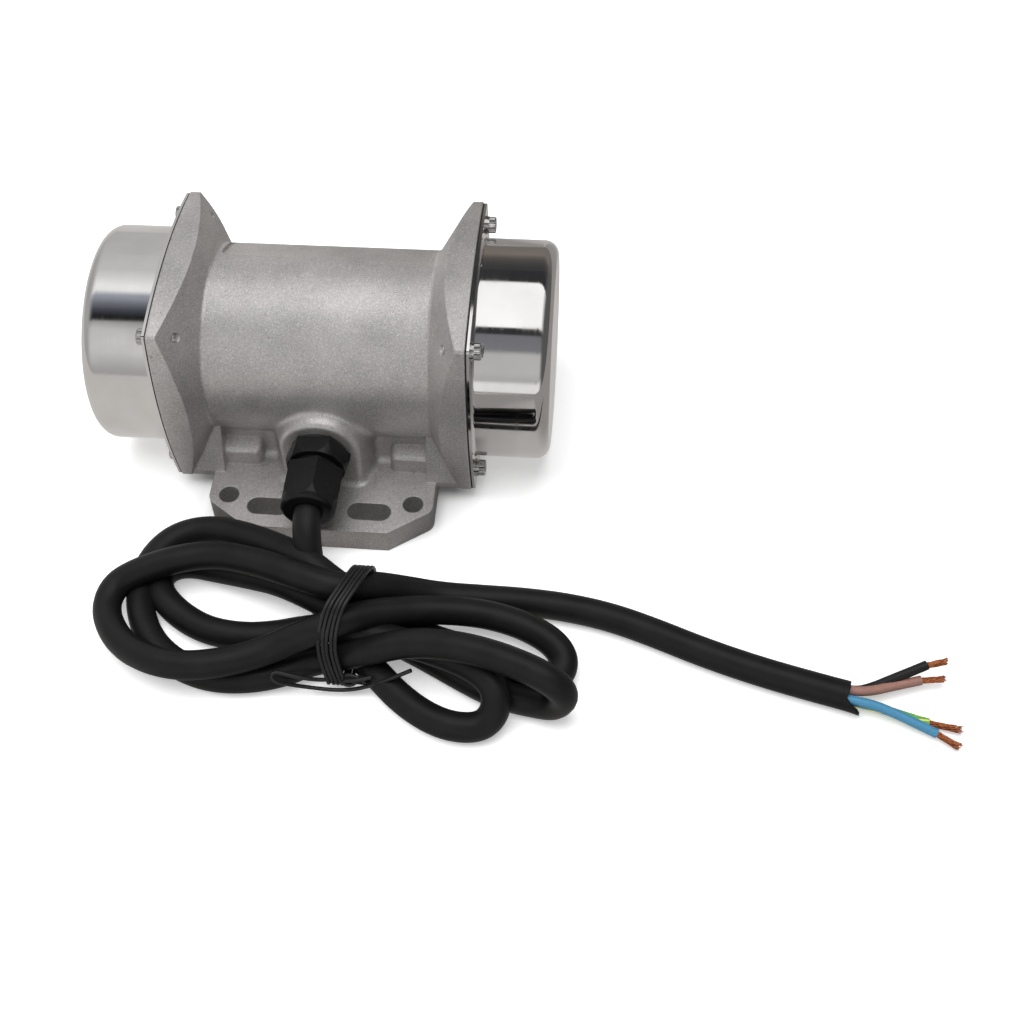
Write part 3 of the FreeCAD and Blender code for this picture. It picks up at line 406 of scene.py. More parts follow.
def screw_steel():
    """Bright plated screw steel with small stains."""
    f = Finish("screw_steel", (0.60, 0.59, 0.57), 0.18, metallic=1.0)
    stains = f.noise(0.8, detail=3.0)
    bright, stained = shade(0.62, (1.0, 0.99, 0.97)), shade(0.34, (1.0, 0.97, 0.93))
    f.colour(f.mix(f.grades(stains, 0.3, 0.75), bright, stained))
    f.roughness(0.12 + f.grades(stains, 0.3, 0.7) * 0.16)
    return f.material


def laminations():
    """Edges of the stacked sheets show as fine lines across the shaft."""
    f = Finish("lamination_steel", (0.30, 0.30, 0.31), 0.45, metallic=0.9)
    stack = f.noise(0.5, detail=0.0, stretch=(1.0, 0.001, 0.001))
    f.colour(f.mix(f.grades(stack, 0.35, 0.65), shade(0.2), shade(0.38)))
    f.bump(stack, 0.04, 0.8)
    return f.material


def winding():
    """Enamelled copper with the wires lying along the slots."""
    f = Finish("copper_winding", (0.50, 0.20, 0.08), 0.3, metallic=0.7, coat=0.4)
    wires = f.noise(0.7, detail=1.0, stretch=(0.2, 1.0, 1.0))
    f.colour(f.mix(f.grades(wires, 0.3, 0.7), (0.30, 0.10, 0.04, 1.0), (0.62, 0.27, 0.10, 1.0)))
    f.bump(wires, 0.2, 0.9)
    return f.material


def rubber(name, level, rough, size):
    """Matte rubber with fine grain, its size in millimetres, and dusty patches."""
    f = Finish(name, (level,) * 3, rough, specular=0.25)
    grain = f.noise(size, detail=3.0)
    dust = f.noise(9.0, detail=3.0)
    f.colour(f.mix(f.grades(dust, 0.35, 0.75), shade(level * 0.85), shade(level * 1.35)))
    f.roughness(rough - 0.03 + f.grades(grain, 0.3, 0.7) * 0.06 + f.grades(dust, 0.4, 0.8) * 0.06)
    f.bump(grain, 0.05, 0.5)
    return f.material


def moulded(name, colour, rough, specular=0.5):
    """Moulded plastic with a light texture."""
    f = Finish(name, colour, rough, specular=specular)
    grain = f.noise(0.9)
    f.colour(f.mix(f.grades(grain, 0.3, 0.75), shade(0.82, colour), shade(1.0, colour)))
    f.roughness(rough + f.grades(grain, 0.3, 0.7) * 0.08)
    f.bump(grain, 0.03, 0.5)
    return f.material


def striped_core():
    """Green insulation with yellow stripes along it."""
    f = Finish("core_green_yellow", (0.10, 0.42, 0.12), 0.3)
    stripes = f.noise(1.4, detail=0.0, stretch=(0.1, 1.0, 1.0))
    f.colour(f.mix(f.grades(stripes, 0.555, 0.575), (0.10, 0.38, 0.10, 1.0), (0.78, 0.66, 0.06, 1.0)))
    return f.material


def copper():
    """Bare copper strands, redder and darker where they tarnished."""
    f = Finish("bare_copper", (0.86, 0.42, 0.24), 0.28, metallic=1.0)
    tarnish = f.noise(0.9)
    f.colour(f.mix(f.grades(tarnish, 0.35, 0.70), (0.88, 0.37, 0.17, 1.0), (0.42, 0.11, 0.04, 1.0)))
    f.roughness(0.2 + f.grades(tarnish, 0.3, 0.7) * 0.15)
    return f.material


def gland_nylon():
    """Black moulded nylon with a glossy skin."""
    f = Finish("gland_nylon", (0.0045, 0.0045, 0.005), 0.3, specular=0.25, coat=0.12, coat_roughness=0.05)
    f.soften_edges(0.35)
    skin = f.noise(1.6)
    f.roughness(0.26 + f.grades(skin, 0.3, 0.7) * 0.12)
    f.bump(skin, 0.012, 0.5)
    return f.material


FINISHES = {
    "cast_aluminium": cast_aluminium,
    "polished_stainless": polished_stainless,
    "machined_aluminium": lambda: machined("machined_aluminium", 0.66, 0.28),
    "cage_aluminium": lambda: machined("cage_aluminium", 0.6, 0.4),
    "screw_steel": screw_steel,
    "ground_steel": lambda: machined("ground_steel", 0.56, 0.2),
    "bearing_steel": lambda: machined("bearing_steel", 0.66, 0.12),
    "spring_steel": lambda: machined("spring_steel", 0.12, 0.35),
    "weight_steel": lambda: machined("weight_steel", 0.42, 0.38),
    "cage_brass": lambda: machined("cage_brass", 0.72, 0.3, (1.0, 0.78, 0.38)),
    "lamination_steel": laminations,
    "copper_winding": winding,
    "bare_copper": copper,
    "fibre_wedge": lambda: moulded("fibre_wedge", (0.70, 0.62, 0.45), 0.7),
    "gasket_rubber": lambda: rubber("gasket_rubber", 0.02, 0.7, 0.8),
    "gland_rubber": lambda: rubber("gland_rubber", 0.02, 0.6, 0.8),
    "cable_sheath": lambda: rubber("cable_sheath", 0.0075, 0.42, 0.6),
    "gland_nylon": gland_nylon,
    "lead_insulation": lambda: moulded("lead_insulation", (0.6, 0.05, 0.04), 0.4),
    "tie_plastic": lambda: moulded("tie_plastic", (0.012, 0.012, 0.012), 0.25),
    "core_black": lambda: moulded("core_black", (0.010, 0.010, 0.011), 0.35, specular=0.35),
    "core_brown": lambda: moulded("core_brown", (0.33, 0.175, 0.14), 0.4),
    "core_blue": lambda: moulded("core_blue", (0.065, 0.25, 0.42), 0.35),
    "core_green_yellow": striped_core,
}
MADE = {}


def finish_of(slot):
    """The material of a slot, made once."""
    if slot not in MADE:
        MADE[slot] = FINISHES[slot]()
    return MADE[slot]


# ---------------------------------------------------------------- helpers

def link(name, data):
    piece = bpy.data.objects.new(name, data)
    bpy.context.scene.collection.objects.link(piece)
    return piece


def dress(piece, slot, body, *nodes):
    """Gives a piece its finish and its body, and hides the nodes it stands for."""
    piece.data.materials.clear()
    piece.data.materials.append(finish_of(slot))
    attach(piece, body)
    if nodes:
        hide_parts(*nodes)
    return piece


def nurbs(name, routes, radius, rings, resolution=8):
    """Round cord along control points in millimetres, with one open spline for each route."""
    curve = bpy.data.curves.new(name, "CURVE")
    curve.dimensions = "3D"
    curve.bevel_depth = radius
    curve.bevel_resolution = rings
    curve.resolution_u = resolution
    curve.use_fill_caps = True
    for route in routes:
        spline = curve.splines.new("NURBS")
        spline.points.add(len(route) - 1)
        for point, (x, y, z) in zip(spline.points, route):
            point.co = (x * MM, y * MM, z * MM, 1.0)
        spline.order_u = 3
        spline.use_endpoint_u = True
    return link(name, curve)


def plain_mesh(piece):
    """The evaluated shape of an object as a mesh without modifiers."""
    depsgraph = bpy.context.evaluated_depsgraph_get()
    mesh = bpy.data.meshes.new_from_object(piece.evaluated_get(depsgraph))
    mesh.name = piece.name
    return mesh


def mesh_of(name, build):
    """The mesh of what was built, which is then freed."""
    mesh = bpy.data.meshes.new(name)
    build.to_mesh(mesh)
    build.free()
    return mesh


def square_to(ahead):
    """The level direction across a line, and the one square to both."""
    across = ahead.cross(Vector((0, 0, 1))).normalized()
    return across, across.cross(ahead)


# ---------------------------------------------------------------- cable

# Control points of the cable in millimetres: down from the gland, round the loops of the bundle in the
# order in which they are laid, and out to the cut end.
LEAD = [
    (0, -53.5, 23.9), (0, -60.5, 23.9), (0.9, -66.8, 20.8), (1.7, -70.6, 15.6), (2.9, -73.6, 10.4),
    (4.9, -77.6, 6.2), (7.8, -81, 4.4)]
FRONT_LOOP = [
    (10.7, -84.9, 4.4), (18.2, -94.2, 4.4), (26.6, -102.5, 4.4), (33, -108.7, 4.4), (40.1, -113.7, 4.4),
    (47.1, -116.8, 4.4), (53.6, -117.6, 4.4), (58.6, -116.6, 4.8), (61.6, -114.1, 7),
    (62.4, -110.9, 10.2), (61.0, -107.4, 12.6), (57.3, -104.2, 13.2), (52.6, -101.4, 13.2),
    (43.5, -97.9, 13), (32.5, -95.3, 13), (22.8, -93.6, 13), (13.5, -91.7, 12.8)]
INNER_LEFT_LOOP = [
    (5.7, -90.9, 9.5), (0.1, -90.2, 6.5), (-6.5, -90.7, 4.4), (-15.9, -92.1, 4.4), (-26.4, -91.1, 4.4),
    (-35, -87.4, 4.4), (-42.5, -81.8, 4.4), (-46.7, -76, 4.4), (-46.2, -70.8, 4.4), (-42.7, -67.7, 4.4),
    (-37.4, -67.0, 4.7), (-30.2, -68.6, 5.5), (-17.4, -72.7, 9), (-5.1, -77.1, 12.5), (12.7, -84.2, 10)]
RISING_RIGHT_LOOP = [
    (19.7, -87.1, 8.5), (28.2, -89.3, 4.6), (36.6, -93.1, 4.4), (44.2, -97, 4.4), (52.1, -101.2, 4.4),
    (59.2, -104.7, 4.4), (66.4, -106.8, 4.4), (73.2, -108, 4.6), (78.7, -109.9, 7),
    (81.6, -110.2, 12.5), (80.4, -110.3, 18), (76.4, -109.4, 21.5), (70.3, -106.9, 22.5),
    (60.1, -103.3, 22.3), (49.4, -100.7, 21.5), (35.9, -98.2, 17.5), (24.2, -99.3, 13.5),
    (14, -98.7, 7.5)]
BACK_LEFT_LOOP = [
    (4.9, -100, 5.5), (-1.7, -103.3, 4.4), (-11.7, -106.4, 4.4), (-23, -107, 4.4), (-34.2, -103.6, 4.4),
    (-43.9, -96.3, 4.4), (-49.6, -87.1, 4.4), (-52.3, -77, 4.4), (-51.4, -65.6, 4.4),
    (-45.3, -56.3, 4.6), (-34, -53.3, 5.5), (-20.2, -58.1, 9), (-6.8, -66, 14), (1.9, -72.7, 18.5),
    (11.4, -77.6, 13.8)]
UPPER_RIGHT_LOOP = [
    (21.2, -80.6, 8), (30.7, -84.9, 4.6), (42.8, -89.2, 4.4), (51.4, -91.3, 4.4), (58.8, -93.9, 4.4),
    (65.6, -96.8, 4.4), (71.9, -99.8, 4.4), (77.0, -100.3, 4.7), (80.3, -98.0, 5.5), (80.9, -94.2, 6.7),
    (78.6, -90.6, 8), (74.0, -87.5, 9), (66, -84.3, 10), (54.4, -82, 10.5), (38.9, -83, 12),
    (23.4, -89.2, 17.6), (15.4, -94.6, 20.9)]
OUTER_LEFT_LOOP = [
    (8.9, -97.5, 20.3), (2.2, -99.1, 17.2), (-5.2, -101.5, 14), (-12.8, -104.6, 13.2),
    (-21.6, -107.3, 13.2), (-30.9, -108.5, 13), (-40.6, -106.7, 12), (-51.8, -100.4, 9.5),
    (-60.1, -88.8, 7.5), (-59.5, -79.5, 8.5), (-52, -75.1, 11), (-40.7, -71.3, 13.3),
    (-29.4, -68.8, 13.6), (-16.1, -72.9, 17.5), (-1.4, -79.5, 21.8), (13.1, -83.6, 21.3)]
TAIL = [
    (22, -79.3, 17.5), (30.9, -75.9, 11), (41.7, -73.6, 5.2), (54, -73.2, 4.4), (67.8, -73.3, 4.4),
    (81.5, -74.4, 4.4), (94.6, -77, 4.4), (107.6, -81.5, 4.4), (120.6, -86.7, 4.4), (134, -91.2, 4.4),
    (148.3, -95.2, 4.4), (162.6, -98.6, 4.4)]
LOOPS = (FRONT_LOOP + INNER_LEFT_LOOP + RISING_RIGHT_LOOP + BACK_LEFT_LOOP + UPPER_RIGHT_LOOP
         + OUTER_LEFT_LOOP)

# Routes of the four cores, from inside the sheath to the end of their insulation, in millimetres.
CORES = {
    "black": [
        (159.3, -95.5, 3.8), (164.9, -96.7, 3.6), (170.2, -94.9, 3.6), (176.2, -92.6, 5.6),
        (181.5, -90.6, 7.1), (185.6, -88.8, 8)],
    "brown": [
        (158.7, -96.8, 6.2), (164.3, -98.1, 6.2), (169.5, -97.2, 5.4), (176.5, -94.4, 4.6),
        (184.2, -91.9, 4.4)],
    "blue": [
        (158.3, -99.4, 5.6), (163.9, -100.8, 5.8), (170.0, -101.6, 5.4), (175.9, -103.4, 4.5),
        (181.8, -105.8, 3.7), (187.4, -107.9, 2.6)],
    "green_yellow": [
        (158.8, -98.3, 2.8), (164.5, -99.5, 2.8), (170.7, -100.2, 2.2), (176.7, -101.6, 1.5),
        (182.0, -103.2, 1.5), (185.8, -104.2, 1.6)],
}
# Where the copper of each core ends, and how far its strands fan out, in millimetres.
COPPER_ENDS = {
    "black": ((192.1, -87.1, 8.4), 0.35),
    "brown": ((191.6, -90.7, 4.2), 0.3),
    "blue": ((194.0, -111.7, 2.0), 0.6),
    "green_yellow": ((195.3, -106.0, 2.0), 0.5),
}
STRAND_BUNDLE = 0.82     # radius of a bundle of strands, in millimetres
STRAND_COVERED = 0.8     # length of it inside the insulation, in millimetres
STRAND_TWIST = 2.4       # turn of the bundle over its length, in radians
STRAND_UNEVEN = 0.22     # how much shorter the shortest strand is, as a share
STRAND_STRAY = 1.6       # how far a strand strays at its end, as a share of the fan
STRAND_WAVES = 1.6
STRAND_STEPS = 14
GOLDEN_ANGLE = 2.39996   # spreads the strands evenly over the bundle

# The ragged cut end of the sheath, in millimetres: least reach, reach of its tongue, how far that bends
# outwards, and the part that lies round the cable.
LIP_REACH, LIP_TONGUE, LIP_BEND, LIP_COVERED = 0.35, 4.2, 0.3, 1.2
LIP_TEETH = ((0.16, 5, 0), (0.10, 11, 1))   # ripples of the cut: size, number and turn
LIP_OUTSIDE, LIP_INSIDE = 1.004, 0.764      # radii, as shares of the cable's
LIP_TURN = math.radians(-22)
LIP_SECTIONS, LIP_STEPS = 56, 8

# The wire of the tie in millimetres: one turn, from the front over the cable and back under it, then
# the knot, then both tails.
TIE_TURN = [
    (14.7, -106.4, 5), (12.8, -104.2, 11), (11.8, -102.4, 17), (12.2, -99.8, 23.4), (13.9, -94.6, 28.4),
    (16.5, -88.4, 28.6), (18.7, -82.0, 27.6), (19.2, -77.0, 24.0), (19.0, -72.4, 16), (17.6, -71.0, 5),
    (16.4, -75.5, 0.8), (15.2, -89, 0.8), (14.6, -103.6, 0.8)]
TIE_KNOT = [
    (13.2, -104.9, 4.4), (15.6, -105.7, 6.6), (18.6, -104.6, 7.6), (20.6, -106.0, 5.6),
    (17.6, -106.6, 4.6), (15.0, -105.4, 6.0), (17.4, -104.6, 8.0), (20.8, -105.2, 7.6),
    (23.6, -106.3, 6.4), (22.0, -105.2, 4.6), (19.0, -105.2, 4.8), (16.2, -106.4, 7.2),
    (20.4, -106.8, 8.2), (24.9, -105.4, 8.4)]
TIE_ENDS = [
    (16.7, -104.6, 5), (10.9, -105.8, 5.6), (5.4, -107.3, 8.5), (0.6, -107.6, 10.5),
    (-2.8, -107.4, 11.5), (-4.1, -108.8, 11.4), (-2.9, -109.8, 9.9), (0.9, -108.6, 6.6),
    (6.4, -107.6, 4), (13.7, -107.4, 3), (19.6, -107.0, 3.4), (25.1, -106.4, 5.6), (30.3, -106.4, 9.6),
    (33.9, -106, 12), (37.1, -105.4, 13.9)]
TIE_SLACK = 0.12


def make_cable(settings):
    cable = nurbs("cable", [LEAD + LOOPS + TAIL], settings.diameter / 2, rings=8, resolution=10)
    return dress(cable, "cable_sheath", "housing", "cable_lead", "cable_bundle", "cable_tail")


def make_cores(settings):
    made = []
    for colour, route in CORES.items():
        core = nurbs("core_" + colour + "_insulation", [route], settings.core_diameter / 2, rings=5)
        made.append(dress(core, "core_" + colour, "housing", "core_" + colour))
    return made


def make_lip(settings):
    """Ragged tongue of sheath that the knife left at the cut end."""
    before, last = (Vector(point) * MM for point in TAIL[-2:])
    ahead = (last - before).normalized()
    across, up = square_to(ahead)
    outward, inward = range(LIP_STEPS + 1), range(LIP_STEPS, -1, -1)
    build = bmesh.new()
    sections = []
    for number in range(LIP_SECTIONS):
        angle = 2 * math.pi * number / LIP_SECTIONS
        spoke = across * math.cos(angle) + up * math.sin(angle)
        tongue = max(0.0, math.cos(angle - LIP_TURN)) ** 3
        ragged = sum(size * math.sin(count * angle + turn) for size, count, turn in LIP_TEETH)
        reach = LIP_REACH + LIP_TONGUE * tongue + ragged
        section = []
        for wall, steps in ((LIP_OUTSIDE, outward), (LIP_INSIDE, inward)):
            for step in steps:
                share = step / LIP_STEPS
                along = share * (reach + LIP_COVERED) - LIP_COVERED
                radius = settings.diameter / 2 * wall + LIP_BEND * MM * tongue * share ** 2
                section.append(build.verts.new(last + ahead * along * MM + spoke * radius))
        sections.append(section)
    for section, after in zip(sections, sections[1:] + sections[:1]):
        for corner in range(len(section)):
            build.faces.new((section[corner], after[corner], after[corner - 1], section[corner - 1]))
    bmesh.ops.recalc_face_normals(build, faces=build.faces)
    mesh = mesh_of("sheath_lip", build)
    mesh.shade_smooth()
    return dress(link("sheath_lip", mesh), "cable_sheath", "housing")


def make_tie(settings):
    """Thin wire wound round the waist of the bundle, knotted at the front, with a bent-back end."""
    pitch = settings.tie_wire / MM
    wound = []
    for turn in range(settings.tie_turns):
        aside = (turn - (settings.tie_turns - 1) / 2) * pitch
        slack = TIE_SLACK * math.sin(2.3 * turn)
        for number, (x, y, z) in enumerate(TIE_TURN):
            along = aside + number / len(TIE_TURN) * pitch + slack * math.sin(number)
            wound.append((x + along, y, z))
    tie = nurbs("tie_wire", [wound, TIE_KNOT, TIE_ENDS], settings.tie_wire / 2, rings=3, resolution=6)
    return dress(tie, "tie_plastic", "housing", "cable_tie")


def strand_recipe():
    """Strands that leave the cut insulation side by side and fan out towards their ends."""
    r = Recipe("copper_strands", {
        "Strands": "Int", "Start": "Vector", "End": "Vector", "Across": "Vector", "Up": "Vector",
        "Bundle Radius": "Float", "Fan": "Float", "Twist": "Float", "Wire Radius": "Float", "Seed": "Int"})
    # Each strand keeps its angle, its place between the middle and the rim, and a random number.
    index = r.shape("GeometryNodeInputIndex")
    rimward = ((index + 0.5) / r.value("Strands")) ** 0.5
    facts = r.combine(index * GOLDEN_ANGLE, rimward, r.chance(index))
    points = r.shape("GeometryNodePoints", {"Count": r.value("Strands")})
    named = r.shape("GeometryNodeStoreNamedAttribute", {"Geometry": points, "Name": "strand", "Value": facts},
                    {"data_type": "FLOAT_VECTOR", "domain": "POINT"})
    line = r.shape("GeometryNodeCurvePrimitiveLine", {"Start": (0, 0, 0), "End": (0, 0, 1)})
    steps = r.shape("GeometryNodeResampleCurve", {"Curve": line, "Count": STRAND_STEPS})
    placed = r.shape("GeometryNodeInstanceOnPoints", {"Points": named, "Instance": steps})
    real = r.shape("GeometryNodeRealizeInstances", {"Geometry": placed})
    # Along the strand the bundle twists, widens and strays a little.
    angle, rimward, luck = r.parts(r.shape(
        "GeometryNodeInputNamedAttribute", {"Name": "strand"}, {"data_type": "FLOAT_VECTOR"}))
    along = r.parts(r.shape("GeometryNodeInputPosition"))[2] * (1.0 - STRAND_UNEVEN * luck)
    turn = angle + along * r.value("Twist")
    out = rimward * (r.value("Bundle Radius") + r.value("Fan") * along * along * (0.4 + luck))
    wave = r.shape("ShaderNodeTexNoise", {
        "W": angle, "Vector": r.combine(along * STRAND_WAVES), "Scale": 1.0}, {"noise_dimensions": "4D"})
    stray = (wave - 0.5) * along * r.value("Fan") * STRAND_STRAY
    path = r.vector("SUBTRACT", r.value("End"), r.value("Start"))
    place = r.vector("ADD", r.value("Start"), r.vector("SCALE", path, along))
    for side, offset in (("Across", out * turn.cosine() + stray), ("Up", out * turn.sine())):
        place = r.vector("ADD", place, r.vector("SCALE", r.value(side), offset))
    bent = r.shape("GeometryNodeSetPosition", {"Geometry": real, "Position": place})
    ring = r.shape("GeometryNodeCurvePrimitiveCircle", {"Resolution": 6, "Radius": r.value("Wire Radius")})
    tubes = r.shape("GeometryNodeCurveToMesh", {"Curve": bent, "Profile Curve": ring, "Fill Caps": True})
    r.end(tubes, finish_of("bare_copper"))
    return r


def make_strands(settings):
    """A bundle of copper strands in the end of each core."""
    recipe = strand_recipe()
    made = []
    for number, (colour, (tip, fan)) in enumerate(COPPER_ENDS.items()):
        before, last = (Vector(point) * MM for point in CORES[colour][-2:])
        start = last - (last - before).normalized() * STRAND_COVERED * MM
        end = Vector(tip) * MM
        across, up = square_to((end - last).normalized())
        strands = recipe.grow("copper_strands_" + colour, {
            "Strands": settings.strands, "Start": start, "End": end, "Across": across, "Up": up,
            "Bundle Radius": STRAND_BUNDLE * MM, "Fan": fan * MM, "Twist": STRAND_TWIST,
            "Wire Radius": settings.strand_diameter / 2, "Seed": number + 3})
        made.append(dress(strands, "bare_copper", "housing", "copper_ends"))
    return made


class MOTOR_OT_cable(bpy.types.Operator):
    """Make the free cable, its tie, its stripped cores and their copper strands"""
    bl_idname = "motor.cable"
    bl_label = "Cable"

    def execute(self, context):
        settings = context.scene.motor_cable
        cable = make_cable(settings)
        pieces = make_cores(settings) + make_strands(settings)
        pieces += [make_tie(settings), make_lip(settings)]
        return {"FINISHED"}


# ---------------------------------------------------------------- cover screws

KNURL_DEPTH = 0.045      # of a groove, as a share of the head's radius
HEAD_CHAMFER = 0.09      # of the top edge, as a share of the head's radius
SHANK_OVERLAP = 0.05     # of shank and head, in millimetres


def screw_recipe():
    """Four knurled socket screws at the corners of a flange, each turned by chance."""
    r = Recipe("cover_screws", {
        "Corner": "Float", "Axis Height": "Float", "Seat": "Float", "Facing": "Float", "Head Radius": "Float",
        "Head Height": "Float", "Socket Radius": "Float", "Shank Radius": "Float", "Shank Length": "Float",
        "Knurls": "Int", "Seed": "Int"})
    height, length, corner = (r.value(label) for label in ("Head Height", "Shank Length", "Corner"))
    index = r.shape("GeometryNodeInputIndex")
    x, y, z = r.parts(r.shape("GeometryNodeInputPosition"))
    # Every second point of the head's rim is drawn in, and its top edge is chamfered.
    blank = r.shape("GeometryNodeMeshCylinder", {
        "Vertices": r.value("Knurls") * 2, "Side Segments": 6, "Radius": r.value("Head Radius"),
        "Depth": height})
    top = z > height * 0.49
    pull = 1.0 - KNURL_DEPTH * (index % 2.0) * (1.0 - top) - HEAD_CHAMFER * top
    head = r.shape("GeometryNodeSetPosition", {
        "Geometry": blank, "Position": r.combine(x * pull, y * pull, z + height * 0.5)})
    hexagon = r.shape("GeometryNodeMeshCylinder", {
        "Vertices": 6, "Radius": r.value("Socket Radius"), "Depth": height * 1.2})
    raised = r.shape("GeometryNodeTransform", {"Geometry": hexagon, "Translation": r.combine(z=height)})
    socket = r.shape("GeometryNodeMeshBoolean", {"Mesh 1": head, "Mesh 2": raised},
                     {"operation": "DIFFERENCE", "solver": "EXACT"})
    rod = r.shape("GeometryNodeMeshCylinder", {
        "Vertices": 20, "Radius": r.value("Shank Radius"), "Depth": length})
    sunk = r.shape("GeometryNodeTransform", {
        "Geometry": rod, "Translation": r.combine(z=length * -0.5 + SHANK_OVERLAP * MM)})
    screw = r.node("GeometryNodeJoinGeometry")
    for half in (sunk, socket):
        connect(r.tree, half, screw.inputs[0])
    # One screw at each corner of the square.
    across = (index % 2.0) * 2.0 - 1.0
    over = (index > 1.5) * 2.0 - 1.0
    places = r.shape("GeometryNodePoints", {"Count": 4, "Position": r.combine(
        r.value("Seat"), across * corner, over * corner + r.value("Axis Height"))})
    lying = r.combine(y=r.value("Facing") * (math.pi / 2))
    screws = r.shape("GeometryNodeInstanceOnPoints", {
        "Points": places, "Instance": r.out(screw), "Rotation": lying})
    rolled = r.shape("GeometryNodeRotateInstances", {
        "Instances": screws, "Rotation": r.combine(z=r.chance(index) * 6.0)})
    r.end(rolled, finish_of("screw_steel"))
    return r


class MOTOR_OT_screws(bpy.types.Operator):
    """Make the four cover screws of each side"""
    bl_idname = "motor.screws"
    bl_label = "Cover screws"

    def execute(self, context):
        settings = context.scene.motor_fasteners
        recipe = screw_recipe()
        for side, facing in (("left", -1.0), ("right", 1.0)):
            low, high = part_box(side + "_cover_screws")
            washers_low, washers_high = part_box(side + "_spring_washers")
            seat = washers_high.x if facing > 0 else washers_low.x
            inner = low.x if facing > 0 else high.x
            piece = recipe.grow(side + "_knurled_screws", {
                "Corner": high.y - settings.head_radius, "Axis Height": (low.z + high.z) / 2, "Seat": seat,
                "Facing": facing, "Head Radius": settings.head_radius, "Head Height": settings.head_height,
                "Socket Radius": settings.socket_radius, "Shank Radius": settings.shank_radius,
                "Shank Length": abs(seat - inner), "Knurls": settings.knurls, "Seed": settings.seed})
            dress(piece, "screw_steel", "housing", side + "_cover_screws")
        return {"FINISHED"}


# ---------------------------------------------------------------- stage

SENSOR_WIDTH = 36.0
# Soft boxes: where they stand, their size, and the setting that gives their power.
SOFT_BOXES = {
    "key_light": ((-0.05, -0.15, 0.9), (0.7, 0.7), "key_power"),
    "side_light": ((-0.8, -0.25, 0.4), (0.5, 0.6), "side_power"),
}
LIT_PLACE = Vector((0.0, 0.0, 0.04))
FLOOR_REACH = 3.0
FLOOR_DROP = 0.2 * MM


def make_camera(settings):
    camera = bpy.data.cameras.new("camera")
    camera.lens = settings.lens
    camera.sensor_width = SENSOR_WIDTH
    camera.clip_start = 0.01
    camera.clip_end = 20.0
    camera.shift_x, camera.shift_y = settings.shift
    view = link("camera", camera)
    pan, tilt, roll = settings.turn
    ahead = Vector((math.sin(pan) * math.cos(tilt), math.cos(pan) * math.cos(tilt), -math.sin(tilt)))
    turn = ahead.to_track_quat("-Z", "Y").to_matrix() @ Matrix.Rotation(-roll, 3, "Z")
    view.matrix_world = Matrix.Translation(settings.place) @ turn.to_4x4()
    bpy.context.scene.camera = view


def soft_box(name, place, size, power):
    """Soft lamp that polished parts don't mirror, because they see the room instead."""
    lamp = bpy.data.lights.new(name, "AREA")
    lamp.shape = "RECTANGLE"
    lamp.size, lamp.size_y = size
    lamp.energy = power
    box = link(name, lamp)
    box.location = place
    box.rotation_euler = (LIT_PLACE - Vector(place)).to_track_quat("-Z", "Y").to_euler()
    box.visible_glossy = False


def floor_finish(settings):
    """Pale floor: white with its shadow to the camera and no glow beneath the motor as painted shade; to
    polished parts a glowing painted reflection, darker near the motor as painted shade.
    """
    material = bpy.data.materials.new("floor")
    material.use_nodes = True
    t = Tree(material.node_tree)
    path = t.node("ShaderNodeLightPath")
    x, y = t.parts(t.out(t.node("ShaderNodeNewGeometry"), "Position"))[:2]
    side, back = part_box("body_casting")[1][:2]

    def past(value, edge, start, end):
        """Grows from 0 to 1 between two distances past an edge, in millimetres."""
        return t.grades(value, edge + start * MM, edge + end * MM)

    # Painted shade: the camera's glow is taken away beneath the motor, so its holes show a shaded floor.
    beneath = past(abs(x), side, 4, -6) * past(abs(y), back, 3, -6)
    before = past(abs(x), side, 14, -2)
    beside = past(x, side, 0, 12)
    away = past(x, side, 30, 60)
    far = t.grades((x * x + y * y) ** 0.5, 0.7, 2.0)
    paint = t.node("ShaderNodeBsdfDiffuse", {}, {"Color": (*settings.floor_colour, 1.0)})
    glow = t.node("ShaderNodeEmission", {}, {
        "Strength": t.seen(path) * (1.0 - beneath) * (settings.floor_glow + far * 0.7)})
    both = t.node("ShaderNodeAddShader")
    # Painted reflection level: darker within and beneath the motor's width as painted shade, and darker to
    # its right.
    level = settings.floor_painted_reflection
    for mask, darker in ((before, 0.5), (beneath, 0.85), (beside, 0.22), (away, 0.35)):
        level = level * (1.0 - darker * mask)
    # Painted reflection: an emission that only glossy rays see.
    mirrored = t.node("ShaderNodeEmission", {}, {"Color": (1.0, 0.965, 0.94, 1.0), "Strength": level})
    chosen = t.node("ShaderNodeMixShader", {}, {"Fac": t.out(path, "Is Glossy Ray")})
    for source, socket in ((paint, both.inputs[0]), (glow, both.inputs[1]), (both, chosen.inputs[1]),
                           (mirrored, chosen.inputs[2])):
        connect(t.tree, t.out(source), socket)
    t.node("ShaderNodeOutputMaterial", {}, {"Surface": t.out(chosen)})
    return material


